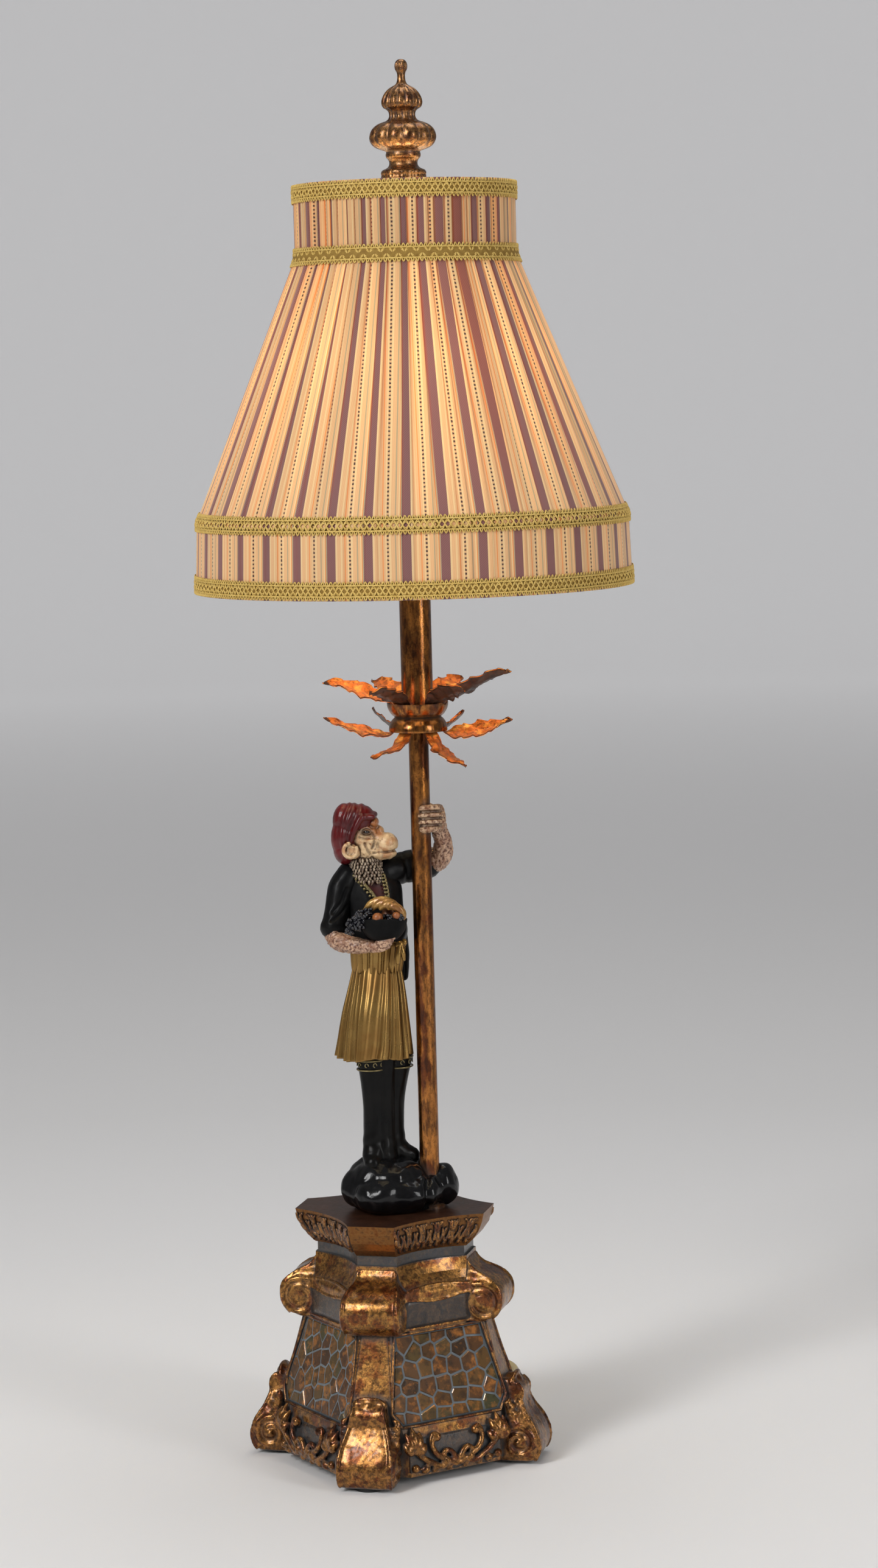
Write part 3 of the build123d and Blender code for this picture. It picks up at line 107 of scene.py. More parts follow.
def add_stage():
    """A pale round floor that curves up into a backdrop on every side, far enough out to be walked round."""
    sides = 96
    profile = [(0.5, 0.0), (1.0, 0.0), (2.0, 0.0), (4.0, 0.0), (FLOOR_RADIUS, 0.0)]
    for step in range(1, 13):
        turn = math.pi / 2 * step / 12
        profile.append((FLOOR_RADIUS + FLOOR_BEND * math.sin(turn), FLOOR_BEND - FLOOR_BEND * math.cos(turn)))
    profile.append((FLOOR_RADIUS + FLOOR_BEND, WALL_TOP))
    verts = [(0.0, 0.0, 0.0)]
    for reach, z in profile:
        for k in range(sides):
            turn = 2 * math.pi * k / sides
            verts.append((reach * math.cos(turn), reach * math.sin(turn), z))
    faces = [(0, 1 + k, 1 + (k + 1) % sides) for k in range(sides)]
    for i in range(len(profile) - 1):
        low, high = 1 + i * sides, 1 + (i + 1) * sides
        faces += [(low + k, high + k, high + (k + 1) % sides, low + (k + 1) % sides) for k in range(sides)]
    mesh = bpy.data.meshes.new("floor")
    mesh.from_pydata(verts, [], faces)
    smooth_all(mesh)
    floor = bpy.data.objects.new("floor", mesh)
    scene.collection.objects.link(floor)
    mat = simple_material("floor_pale", FLOOR_TONE)
    mesh.materials.append(mat)
    # the far part looks paler to the camera and lights nothing
    tree = mat.node_tree
    shader = tree.nodes["Principled BSDF"]
    shader.inputs["Emission Color"].default_value = WALL_GLOW
    coords = tree.nodes.new("ShaderNodeTexCoord")
    length = tree.nodes.new("ShaderNodeVectorMath")
    length.operation = "LENGTH"
    far = tree.nodes.new("ShaderNodeMapRange")
    far.inputs["From Min"].default_value = 1.2
    far.inputs["From Max"].default_value = 6.0
    far.inputs["To Max"].default_value = 0.32
    path = tree.nodes.new("ShaderNodeLightPath")
    both = tree.nodes.new("ShaderNodeMath")
    both.operation = "MULTIPLY"
    tree.links.new(coords.outputs["Object"], length.inputs[0])
    tree.links.new(length.outputs["Value"], far.inputs["Value"])
    tree.links.new(far.outputs["Result"], both.inputs[0])
    tree.links.new(path.outputs["Is Camera Ray"], both.inputs[1])
    tree.links.new(both.outputs["Value"], shader.inputs["Emission Strength"])


# places, aims and sizes in metres, strength in watts
LIGHTS = [
    ("key", (-1.7, -1.9, 1.9), (0, 0, 0.4), (0.7, 1.6), 56),
    ("fill", (2.0, -1.8, 1.1), (0, 0, 0.4), (0.6, 1.6), 24),
    ("top", (0.2, 0.4, 2.8), (0, 0, 0.3), (1.6, 1.6), 22),
]
SKY_COLOR = (0.93, 0.94, 0.96, 1)
SKY_STRENGTH = 0.24


def add_light(name, place, aim, size, power):
    data = bpy.data.lights.new(name, "AREA")
    data.shape = "RECTANGLE"
    data.size = size[0]
    data.size_y = size[1]
    data.energy = power
    light = bpy.data.objects.new(name, data)
    scene.collection.objects.link(light)
    start = Vector(seen(*place))
    light.location = start
    light.rotation_euler = (Vector(seen(*aim)) - start).to_track_quat("-Z", "Y").to_euler()


def add_lights():
    world = bpy.data.worlds.new("world")
    scene.world = world
    world.use_nodes = True
    sky = world.node_tree.nodes["Background"]
    sky.inputs["Color"].default_value = SKY_COLOR
    sky.inputs["Strength"].default_value = SKY_STRENGTH
    for lamp in LIGHTS:
        add_light(*lamp)


add_camera()
add_stage()
add_lights()


# ---------------------------------------------------------------- mesh helpers
def mesh_piece(name, form, material, body="base", slot=None, replaces=(), smooth=True):
    """A piece from a form, its points in millimetres and its faces, riding on a body."""
    verts, faces = form
    mesh = bpy.data.meshes.new(name)
    mesh.from_pydata((np.asarray(verts, float) * MM).tolist(), [], [list(f) for f in faces])
    mesh.validate()
    smooth_all(mesh, smooth)
    mesh.materials.append(material)
    piece = bpy.data.objects.new(name, mesh)
    scene.collection.objects.link(piece)
    if replaces:
        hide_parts(*replaces)
    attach(piece, body)
    return piece


class Pile:
    """Points and faces of several closed forms that become one piece."""

    def __init__(self, forms=()):
        self.verts = []
        self.faces = []
        self.count = 0
        for form in forms:
            self.add(*form)

    def add(self, verts, faces):
        self.verts.append(np.asarray(verts, float))
        self.faces.extend([tuple(i + self.count for i in f) for f in faces])
        self.count += len(verts)

    def form(self):
        return np.concatenate(self.verts), self.faces


def grid_faces(rows, cols, wrap_rows=False, wrap_cols=False):
    faces = []
    for i in range(rows if wrap_rows else rows - 1):
        for j in range(cols if wrap_cols else cols - 1):
            a = i * cols + j
            b = i * cols + (j + 1) % cols
            c = ((i + 1) % rows) * cols + (j + 1) % cols
            d = ((i + 1) % rows) * cols + j
            faces.append((a, b, c, d))
    return faces


def circle(radius, z, count):
    """Points at a height about the pole axis; the radius is one number or one for each point."""
    turns = 2 * np.pi * np.arange(count) / count
    return np.stack([radius * np.cos(turns), radius * np.sin(turns), np.full(count, z)], 1)


def plate(front, back, flip=False):
    """A thin closed form between two grids of points."""
    rows, cols = front.shape[:2]
    total = rows * cols
    near = grid_faces(rows, cols)
    far = [tuple(reversed(f)) for f in near]
    if flip:
        near, far = far, near
    rim = [i * cols for i in range(rows)] + [(rows - 1) * cols + j for j in range(1, cols)]
    rim += [i * cols + cols - 1 for i in range(rows - 2, -1, -1)] + list(range(cols - 2, 0, -1))
    faces = near + [tuple(v + total for v in f) for f in far]
    faces += [(a, b, b + total, a + total) for a, b in zip(rim, rim[1:] + rim[:1])]
    return np.concatenate([front.reshape(-1, 3), back.reshape(-1, 3)]), faces


def capped_rings(rings):
    """A closed form through rings of points, each closed, with fans at its two ends."""
    rings = [np.asarray(r, float) for r in rings]
    cols = len(rings[0])
    verts = np.concatenate(rings + [rings[0].mean(0)[None], rings[-1].mean(0)[None]])
    faces = grid_faces(len(rings), cols, wrap_cols=True)
    first = len(rings) * cols
    last_row = (len(rings) - 1) * cols
    faces += [(first, (j + 1) % cols, j) for j in range(cols)]
    faces += [(first + 1, last_row + j, last_row + (j + 1) % cols) for j in range(cols)]
    return verts, faces


def ellipsoid(centre, radii, axes=None, rows=14, cols=20):
    """axes is a 3 by 3 array whose rows are the directions of the radii."""
    axes = np.eye(3) if axes is None else np.asarray(axes, float)
    rings = []
    for i in range(1, rows):
        a = math.pi * i / rows
        ring = []
        for j in range(cols):
            b = 2 * math.pi * j / cols
            local = np.array([math.sin(a) * math.cos(b), math.sin(a) * math.sin(b), -math.cos(a)]) * radii
            ring.append(np.asarray(centre, float) + local @ axes)
        rings.append(ring)
    return capped_rings(rings)


def frames_along(points):
    """Tangents and two steady normals along a polyline."""
    points = np.asarray(points, float)
    tangents = np.gradient(points, axis=0)
    tangents /= np.maximum(np.linalg.norm(tangents, axis=1)[:, None], 1e-9)
    side = np.cross(tangents[0], [0, 0, 1.0])
    if np.linalg.norm(side) < 1e-3:
        side = np.cross(tangents[0], [1.0, 0, 0])
    sides = []
    for t in tangents:
        side = side - t * np.dot(side, t)
        side = side / np.linalg.norm(side)
        sides.append(side.copy())
    sides = np.array(sides)
    return tangents, sides, np.cross(tangents, sides)


def circle_at(centre, radius, one, two, sides, flat=1.0):
    """A circle in the plane of two directions, squeezed along the second by flat."""
    angles = 2 * math.pi * np.arange(sides) / sides
    return centre + radius * (np.cos(angles)[:, None] * one + flat * np.sin(angles)[:, None] * two)


def tube(points, radii, sides=8, flat=1.0):
    """A round tube along points; flat squeezes it along its second normal."""
    points = np.asarray(points, float)
    radii = np.broadcast_to(np.asarray(radii, float), (len(points),))
    _, one, two = frames_along(points)
    return capped_rings([circle_at(p, r, a, b, sides, flat) for p, r, a, b in zip(points, radii, one, two)])


def smooth_path(points, count):
    """Points on a smooth curve through the given ones."""
    points = np.asarray(points, float)
    padded = np.concatenate([[2 * points[0] - points[1]], points, [2 * points[-1] - points[-2]]])
    out = []
    spans = len(points) - 1
    for k in range(count):
        t = spans * k / (count - 1)
        i = min(int(t), spans - 1)
        f = t - i
        p0, p1, p2, p3 = padded[i : i + 4]
        out.append(
            0.5
            * (2 * p1 + (p2 - p0) * f + (2 * p0 - 5 * p1 + 4 * p2 - p3) * f * f + (3 * p1 - p0 - 3 * p2 + p3) * f**3)
        )
    return np.array(out)


def limb(knots, sides=16, steps=24):
    """A rounded limb through (u, v, z, radius) knots given as seen from the front."""
    path = smooth_path([list(k) for k in knots], steps)
    points = np.array([seen(*p[:3]) for p in path])
    radii = path[:, 3]
    tangents, one, two = frames_along(points)
    rings = [circle_at(p, r, a, b, sides) for p, r, a, b in zip(points, radii, one, two)]
    for share in (0.93, 0.72, 0.35):
        for end, hand in ((0, -1), (-1, 1)):
            centre = points[end] + tangents[end] * (math.sqrt(1 - share * share) * radii[end] * hand)
            cap = circle_at(centre, share * radii[end], one[end], two[end], sides)
            rings.insert(0 if end == 0 else len(rings), cap)
    return capped_rings(rings)


def blob(u, v, z, ru, rv, rz, tilt=0.0):
    """An ellipsoid as seen from the front, tilted in the picture plane."""
    c = math.cos(math.radians(tilt))
    s = math.sin(math.radians(tilt))
    axes = [seen(c, 0, s), seen(0, 1, 0), seen(-s, 0, c)]
    return ellipsoid(seen(u, v, z), (ru, rv, rz), axes)


def sculpt(name, forms, voxel, material, shape=None, smooth_rounds=3, **kw):
    """Forms melted into one skin, then worked by shape(points, seen points): offsets along the normals."""
    piece = mesh_piece(name, Pile(forms).form(), material, **kw)
    remesh = piece.modifiers.new("melt", "REMESH")
    remesh.mode = "VOXEL"
    remesh.voxel_size = voxel * MM
    ease = piece.modifiers.new("ease", "SMOOTH")
    ease.factor = 0.5
    ease.iterations = smooth_rounds
    bake_modifiers(piece)
    if shape is not None:
        push(piece, shape)
    smooth_all(piece.data)
    return piece


def bake_modifiers(piece):
    depsgraph = bpy.context.evaluated_depsgraph_get()
    depsgraph.update()
    mesh = bpy.data.meshes.new_from_object(piece.evaluated_get(depsgraph))
    old = piece.data
    piece.modifiers.clear()
    piece.data = mesh
    mesh.name = piece.name
    if not mesh.materials:
        for mat in old.materials:
            mesh.materials.append(mat)
    bpy.data.meshes.remove(old)


def vertex_rows(piece, kind="co"):
    """The mesh's points or normals, one to a row."""
    values = np.empty(len(piece.data.vertices) * 3, np.float32)
    piece.data.vertices.foreach_get(kind, values)
    return values.reshape(-1, 3).astype(float)


def place_vertices(piece, points):
    """Sets the mesh's points, given in mm."""
    piece.data.vertices.foreach_set("co", (points * MM).astype(np.float32).ravel())
    piece.data.update()


def push(piece, shape):
    """Moves the points along their normals by what shape(points, the same as seen from the front) gives, in mm."""
    points = vertex_rows(piece) / MM
    place_vertices(piece, points + vertex_rows(piece, "normal") * shape(points, as_seen(points))[:, None])


def turned(points, angle):
    """Points turned about the upright axis."""
    c, s = math.cos(angle), math.sin(angle)
    return np.stack([points[:, 0] * c - points[:, 1] * s, points[:, 0] * s + points[:, 1] * c, points[:, 2]], 1)


def as_seen(points):
    """Turns points of the object's frame into right, back, up as seen from the front."""
    return turned(points, -FRONT_TURN)


def ripple(points, size, seed=0.0):
    """Smooth noise from -1 to 1 at the given size in mm."""
    return np.array([noise.noise(Vector((x / size + seed, y / size, z / size))) for x, y, z in points])


# ---------------------------------------------------------------- materials
WHITE = (1, 1, 1)
BLACK = (0, 0, 0)


class Nodes:
    """Short names for building a node material."""

    def __init__(self, name):
        self.mat = bpy.data.materials.new(name)
        self.mat.use_nodes = True
        self.tree = self.mat.node_tree
        self.shader = self.tree.nodes["Principled BSDF"]
        self.coords = self.tree.nodes.new("ShaderNodeTexCoord")

    def new(self, kind, **inputs):
        node = self.tree.nodes.new(kind)
        for key, value in inputs.items():
            node.inputs[key.replace("_", " ")].default_value = value
        return node

    def link(self, out, target):
        self.tree.links.new(out, target)

    def mapped(self, scale=(1, 1, 1), source="Object"):
        node = self.new("ShaderNodeMapping")
        node.inputs["Scale"].default_value = scale
        self.link(self.coords.outputs[source], node.inputs["Vector"])
        return node.outputs["Vector"]

    def noise(self, size_mm, detail=4.0, rough=0.55, vector=None):
        node = self.new("ShaderNodeTexNoise", Scale=1000.0 / size_mm, Detail=detail, Roughness=rough)
        self.link(vector if vector is not None else self.coords.outputs["Object"], node.inputs["Vector"])
        return node.outputs["Fac"]

    def ramp(self, fac, stops, mode="LINEAR"):
        node = self.tree.nodes.new("ShaderNodeValToRGB")
        node.color_ramp.interpolation = mode
        elements = node.color_ramp.elements
        while len(elements) < len(stops):
            elements.new(0.5)
        for element, (pos, color) in zip(elements, stops):
            element.position = pos
            element.color = color if len(color) == 4 else (*color, 1)
        self.link(fac, node.inputs["Fac"])
        return node.outputs["Color"]

    def falls(self, fac, high, low):
        """White up to one value of fac, black from the next."""
        return self.ramp(fac, [(high, WHITE), (low, BLACK)])

    def rises(self, fac, low, high):
        """Black up to one value of fac, white from the next."""
        return self.ramp(fac, [(low, BLACK), (high, WHITE)])

    def feed(self, target, value):
        """Links an output to an input, or sets the input to a number or a color."""
        if hasattr(value, "is_output"):
            self.link(value, target)
        elif hasattr(value, "__len__"):
            target.default_value = (*value, 1) if len(value) == 3 else value
        else:
            target.default_value = value

    def math(self, op, *values):
        node = self.tree.nodes.new("ShaderNodeMath")
        node.operation = op
        for target, value in zip(node.inputs, values):
            self.feed(target, value)
        return node.outputs[0]

    def mix(self, fac, a, b, blend="MIX"):
        node = self.tree.nodes.new("ShaderNodeMix")
        node.data_type = "RGBA"
        node.blend_type = blend
        for index, value in ((0, fac), (6, a), (7, b)):
            self.feed(node.inputs[index], value)
        return node.outputs[2]

    def cover(self, color, tone, fac, amount):
        """Lays a tone over a color where fac is white, as strongly as amount says."""
        return self.mix(self.math("MULTIPLY", fac, amount), color, tone)

    def parts(self, vector):
        """The three parts of a vector."""
        node = self.new("ShaderNodeSeparateXYZ")
        self.link(vector, node.inputs[0])
        return node.outputs

    def share(self, value, start, end):
        """How far a value in metres has come from start to end, both in mm, from 0 to 1."""
        node = self.new("ShaderNodeMapRange", From_Min=start * MM, From_Max=end * MM)
        self.link(value, node.inputs["Value"])
        return node.outputs["Result"]

    def bump(self, height, strength, distance_mm):
        node = self.new("ShaderNodeBump", Strength=strength, Distance=distance_mm * MM)
        self.link(height, node.inputs["Height"])
        self.link(node.outputs["Normal"], self.shader.inputs["Normal"])

    def set(self, **values):
        names = {
            "color": "Base Color",
            "metal": "Metallic",
            "rough": "Roughness",
            "coat": "Coat Weight",
            "coat_rough": "Coat Roughness",
            "sheen": "Sheen Weight",
            "glow": "Emission Color",
            "glow_strength": "Emission Strength",
            "specular": "Specular IOR Level",
        }
        for key, value in values.items():
            self.feed(self.shader.inputs[names[key]], value)
        return self.mat

    # Ambient occlusion; the materials use it to paint shade into hollows.
    def crevices(self, distance_mm):
        node = self.new("ShaderNodeAmbientOcclusion", Distance=distance_mm * MM)
        node.samples = 6
        return node.outputs["AO"]


BAND_EDGE = 0.6


def gilt(
    name, gold, red, dark, wash_and_shade, metal=0.85, wash_and_shade_reach=0.62, patch_mm=14.0, depth_mm=7.0, bump=0.35, stretch=1.0,
    grey_band=None, satin=0.13
):
    """Gold leaf over a red-brown ground, worn to dark specks, with a grey wash and painted shade in the hollows."""
    n = Nodes(name)
    drawn = n.mapped((1, 1, stretch))
    broad = n.noise(patch_mm, 5.0, 0.6, drawn)
    fine = n.noise(patch_mm / 5.5, 5.0, 0.65, drawn)
    speck = n.noise(patch_mm / 14.0, 3.0, 0.7)
    body = n.ramp(
        broad,
        [
            (0.34, red), (0.45, gold), (0.52, [g * 1.5 for g in gold]), (0.58, red), (0.70, [r * 0.6 for r in red]),
            (0.8, gold)
        ]
    )
    worn = n.falls(fine, 0.38, 0.56)
    body = n.cover(body, dark, worn, 0.72)
    flecks = n.falls(speck, 0.37, 0.46)
    body = n.cover(body, dark, flecks, 0.45)
    if grey_band:
        height = n.parts(n.coords.outputs["Object"])[2]
        low, high = grey_band
        up = n.share(height, low - BAND_EDGE, low + BAND_EDGE)
        down = n.share(height, high + BAND_EDGE, high - BAND_EDGE)
        band = n.math("MULTIPLY", up, down)
        body = n.cover(body, wash_and_shade, band, 0.85)
    # painted shade together with the grey wash: darker where ambient occlusion finds hollows
    hollow = n.falls(n.crevices(depth_mm), 0.48, wash_and_shade_reach + 0.26)
    wash_and_shade_fac = n.math("MULTIPLY", hollow, 0.9)
    color = n.mix(wash_and_shade_fac, body, wash_and_shade)
    n.set(color=color)
    n.set(metal=n.math("MULTIPLY", n.math("SUBTRACT", 1.0, wash_and_shade_fac), metal))
    rough = n.math("ADD", n.math("MULTIPLY", fine, 0.28), satin)
    n.set(coat=0.25, coat_rough=0.1)
    n.set(rough=n.math("ADD", rough, n.math("MULTIPLY", wash_and_shade_fac, 0.35)))
    n.bump(n.math("ADD", fine, n.math("MULTIPLY", speck, 0.4)), bump, 0.5)
    return n.mat


GOLD = (0.33, 0.155, 0.037)
COPPER = (0.23, 0.070, 0.017)
UMBER = (0.030, 0.015, 0.009)
# grey wash colour, also used as the painted shade in the hollows
WASH_AND_SHADE = (0.055, 0.064, 0.070)

gilt_cast = gilt("gilt_cast", GOLD, COPPER, UMBER, WASH_AND_SHADE, grey_band=(134.6, 141.9))
gilt_carved = gilt(
    "gilt_carved", (0.29, 0.130, 0.034), (0.17, 0.050, 0.014), (0.020, 0.010, 0.006), WASH_AND_SHADE, depth_mm=4.0,
    grey_band=(134.6, 141.9)
)
gilt_pole = gilt(
    "gilt_pole", (0.33, 0.125, 0.026), (0.17, 0.046, 0.010), (0.024, 0.009, 0.005), (0.03, 0.02, 0.015), metal=0.95,
    patch_mm=16.0, stretch=0.3, satin=0.03
)
gilt_finial = gilt(
    "gilt_finial", (0.30, 0.14, 0.045), (0.21, 0.075, 0.022), (0.035, 0.020, 0.013), (0.085, 0.085, 0.085),
    patch_mm=9.0, depth_mm=3.0
)


def painted(
    name, base, variation, rough, metal=0.0, size_mm=8.0, coat=0.0, bump=0.1, painted_shade=None, depth_mm=3.0, specular=0.5
):
    """Hand-painted casting: a tone that drifts, with painted shade in the hollows when a shade colour is given."""
    n = Nodes(name)
    drift = n.noise(size_mm, 4.0)
    color = n.ramp(drift, [(0.32, base), (0.68, variation)])
    if painted_shade is not None:
        # painted shade: darker where ambient occlusion finds hollows
        low = n.falls(n.crevices(depth_mm), 0.35, 0.85)
        color = n.cover(color, painted_shade, low, 0.85)
    n.set(color=color, metal=metal, coat=coat, coat_rough=0.12, specular=specular)
    n.set(rough=n.math("ADD", n.math("MULTIPLY", drift, 0.16), rough - 0.08))
    n.bump(n.noise(size_mm / 6.0, 3.0), bump, 0.3)
    return n.mat


# a colour given below for the hollows is painted shade there
rock_paint = painted(
    "rock_paint", (0.003, 0.003, 0.0035), (0.006, 0.006, 0.0065), 0.16, coat=0.1, size_mm=9.0, bump=0.25,
    specular=0.25
)
boot_paint = painted(
    "boot_paint", (0.003, 0.003, 0.003), (0.006, 0.0055, 0.005), 0.3, size_mm=12.0, bump=0.08, specular=0.13
)
jacket_paint = painted(
    "jacket_paint", (0.0035, 0.0035, 0.004), (0.007, 0.007, 0.007), 0.34, size_mm=9.0, bump=0.1, specular=0.11
)
bowl_paint = painted("bowl_paint", (0.004, 0.004, 0.004), (0.007, 0.007, 0.007), 0.55, size_mm=6.0, specular=0.08)
vest_paint = painted("vest_paint", (0.060, 0.010, 0.009), (0.035, 0.007, 0.007), 0.42, size_mm=5.0, specular=0.3)
cap_paint = painted(
    "cap_paint", (0.125, 0.004, 0.005), (0.055, 0.003, 0.004), 0.3, size_mm=12.0, coat=0.15,
    painted_shade=(0.018, 0.002, 0.002), specular=0.35
)
skirt_paint = painted(
    "skirt_paint", (0.36, 0.22, 0.065), (0.25, 0.13, 0.033), 0.28, metal=0.75, size_mm=16.0,
    painted_shade=(0.018, 0.010, 0.004), depth_mm=4.0, bump=0.04
)
embroidery = painted(
    "embroidery", (0.30, 0.24, 0.11), (0.16, 0.13, 0.06), 0.4, metal=0.7, size_mm=2.0, painted_shade=(0.015, 0.015, 0.012),
    depth_mm=1.5
)


def washed(name, high, low, stain, fine_mm, broad_mm, rough=0.4, brow=None, painted_shade=(), spots=(), bare=0.0):
    """Modelled skin or fur: a pale coat over a brown wash, with painted shade in the hollows and at given spots, and
    stains in some places.
    """
    n = Nodes(name)
    fine = n.noise(fine_mm, 5.0, 0.7)
    broad = n.noise(broad_mm, 3.0)
    color = n.ramp(fine, [(0.43 - bare, low), (0.52 - bare, high), (0.72, [c * 1.15 for c in high])])
    spot = n.rises(broad, 0.48, 0.62)
    color = n.cover(color, stain, spot, 0.6)
    if brow is not None:
        height = n.parts(n.coords.outputs["Object"])[2]
        color = n.cover(color, stain, n.share(height, brow - 3, brow + 4), 0.75)
    # stains at the stain spots, painted shade at the shade spots
    for tone, places in ((stain, spots), ([c * 0.16 for c in low], painted_shade)):
        for u, v, z, size in places:
            away = n.new("ShaderNodeVectorMath")
            away.operation = "DISTANCE"
            n.link(n.coords.outputs["Object"], away.inputs[0])
            away.inputs[1].default_value = [c * MM for c in seen(u, v, z)]
            near = n.share(away.outputs["Value"], size * 1.5, size * 0.4)
            color = n.cover(color, tone, near, 0.85)
    # painted shade: darker where ambient occlusion finds hollows
    hollow = n.falls(n.crevices(2.6), 0.55, 0.97)
    color = n.cover(color, [c * 0.22 for c in low], hollow, 0.9)
    n.set(color=color, rough=rough, coat=0.12, coat_rough=0.2)
    n.bump(fine, 0.35, 0.35)
    return n.mat


fur_paint = washed("fur_paint", (0.54, 0.34, 0.22), (0.12, 0.040, 0.020), (0.22, 0.085, 0.045), 1.6, 9.0)
fist_paint = washed("fist_paint", (0.50, 0.33, 0.20), (0.11, 0.035, 0.014), (0.22, 0.08, 0.03), 1.8, 6.0)
HEAD_MID = 1.5  # the head is alike on both sides of this plane
# dark spots painted as shade in the eye sockets
EYE_SHADE_SPOTS = [(u, HEAD_MID + hand * 9.0, z, 2.6) for hand in (-1, 1) for u, z in ((-33.4, 407.4), (-36.6, 407.6))]
NOSE_SPOTS = [(-27.0, HEAD_MID + v, 407.0, 3.8) for v in (-5.0, 5.0)]
NOSE_SPOTS += [(-31.0, HEAD_MID + v, 411.5, 5.2) for v in (-6.0, 6.0)]
face_paint = washed(
    "face_paint", (0.64, 0.45, 0.25), (0.24, 0.085, 0.028), (0.36, 0.11, 0.022), 2.4, 8.0, 0.34, 411.0, EYE_SHADE_SPOTS,
    NOSE_SPOTS, bare=0.085
)
ruff_paint = washed("ruff_paint", (0.46, 0.36, 0.25), (0.13, 0.075, 0.045), (0.17, 0.10, 0.065), 2.2, 5.0)
eye_paint = painted("eye_paint", (0.02, 0.012, 0.008), (0.03, 0.016, 0.01), 0.15, size_mm=3.0, coat=0.6)
grape_paint = painted("grape_paint", (0.004, 0.004, 0.007), (0.012, 0.012, 0.018), 0.16, size_mm=3.0, coat=0.3)
banana_paint = painted(
    "banana_paint", (0.46, 0.27, 0.075), (0.20, 0.075, 0.018), 0.28, metal=0.3, size_mm=5.0, coat=0.2,
    painted_shade=(0.03, 0.012, 0.004), depth_mm=2.5
)
orange_paint = painted(
    "orange_paint", (0.34, 0.115, 0.028), (0.20, 0.06, 0.018), 0.38, size_mm=4.0, painted_shade=(0.05, 0.02, 0.01),
    depth_mm=2.0
)
pad_rubber = painted("pad_rubber", (0.01, 0.01, 0.01), (0.016, 0.016, 0.016), 0.8, size_mm=3.0)
brass_bright = painted(
    "brass_bright", (0.72, 0.52, 0.22), (0.62, 0.43, 0.17), 0.26, metal=1.0, size_mm=9.0, bump=0.04
)
steel_plain = painted("steel_plain", (0.60, 0.60, 0.57), (0.50, 0.50, 0.48), 0.35, metal=1.0, size_mm=6.0, bump=0.05)
black_moulding = painted("black_moulding", (0.012, 0.012, 0.012), (0.02, 0.02, 0.02), 0.4, size_mm=4.0)
white_wire = painted("white_wire", (0.78, 0.76, 0.70), (0.70, 0.68, 0.62), 0.4, size_mm=6.0)
lining_cloth = painted("lining_cloth", (0.86, 0.83, 0.76), (0.82, 0.79, 0.71), 0.85, size_mm=4.0, bump=0.1)
cord_vinyl = painted("cord_vinyl", (0.60, 0.46, 0.20), (0.54, 0.40, 0.16), 0.22, size_mm=9.0, coat=0.5, bump=0.05)
plug_vinyl = painted("plug_vinyl", (0.50, 0.37, 0.15), (0.44, 0.32, 0.12), 0.32, size_mm=6.0, coat=0.2, bump=0.08)
cap_metal = painted("cap_metal", (0.72, 0.72, 0.70), (0.62, 0.62, 0.60), 0.3, metal=1.0, size_mm=5.0)
iron_rough = painted("iron_rough", (0.09, 0.09, 0.09), (0.14, 0.13, 0.12), 0.75, size_mm=5.0, bump=0.5)
card_black = painted("card_black", (0.03, 0.03, 0.03), (0.045, 0.045, 0.045), 0.85, size_mm=5.0)


def lit_glass():
    n = Nodes("lit_glass")
    height = n.noise(30.0, 1.0)
    n.set(color=n.ramp(height, [(0.3, (1.0, 0.93, 0.80)), (0.7, (1.0, 0.90, 0.74))]))
    n.set(rough=0.45, glow=(1.0, 0.84, 0.58), glow_strength=14.0)
    return n.mat


def dress_node(name, material):
    slots = nodes[name].material_slots
    if not slots:
        nodes[name].data.materials.append(material)
        return
    for item in slots:
        item.material = material


DRESS = [
    (gilt_cast, ["plinth_body"]),
    (gilt_pole, ["pole_tube", "pole_foot_ring", "candle_tube", "check_ring", "leaf_dome", "leaf_cup"]),
    (pad_rubber, ["foot_pads"]),
    (card_black, ["bottom_cover"]),
    (iron_rough, ["ballast"]),
    (steel_plain, ["threaded_rod", "base_nut", "base_washer"]),
    (brass_bright, ["socket_cap", "socket_shell", "harp_saddle", "harp_wire", "harp_stud", "plug_blades"]),
    (brass_bright, ["harp_sleeve_left", "harp_sleeve_right"]),
    (black_moulding, ["socket_core", "switch_knob", "cord_tie"]),
    (cap_metal, ["bulb_base"]),
    (lit_glass(), ["bulb_glass"]),
    (lining_cloth, ["shade_liner"]),
    (white_wire, ["shade_frame", "shade_spider"]),
    (cord_vinyl, ["inner_lead"]),
    (plug_vinyl, ["cord_bushing", "plug_body"]),
]
for node_material, node_names in DRESS:
    for node_name in node_names:
        dress_node(node_name, node_material)


# ---------------------------------------------------------------- cords
CORD = 6.0
CORD_REST = 3.5
TURN_PITCH = 6.6
COIL_OUTER = 47.0
COIL_TURNS = 6.6389
COIL_CENTRE = (10.0, 160.0)
COIL_START = -110.0
HALF_CLIMB = 0.25
LAYER_TURNS = COIL_TURNS / 2 - HALF_CLIMB
BUSHING_OUT = np.array([math.cos(math.radians(135)), math.sin(math.radians(135)), 0])
BUSHING_OUTER = np.array([PLINTH_X, 0, 15.0]) + BUSHING_OUT * (68.0 - 7.0 + 24.0)
PLUG_REST = 13.0 / 2 + 0.2
LEAD_IN = 14.0  # a cord leaves straight for this far


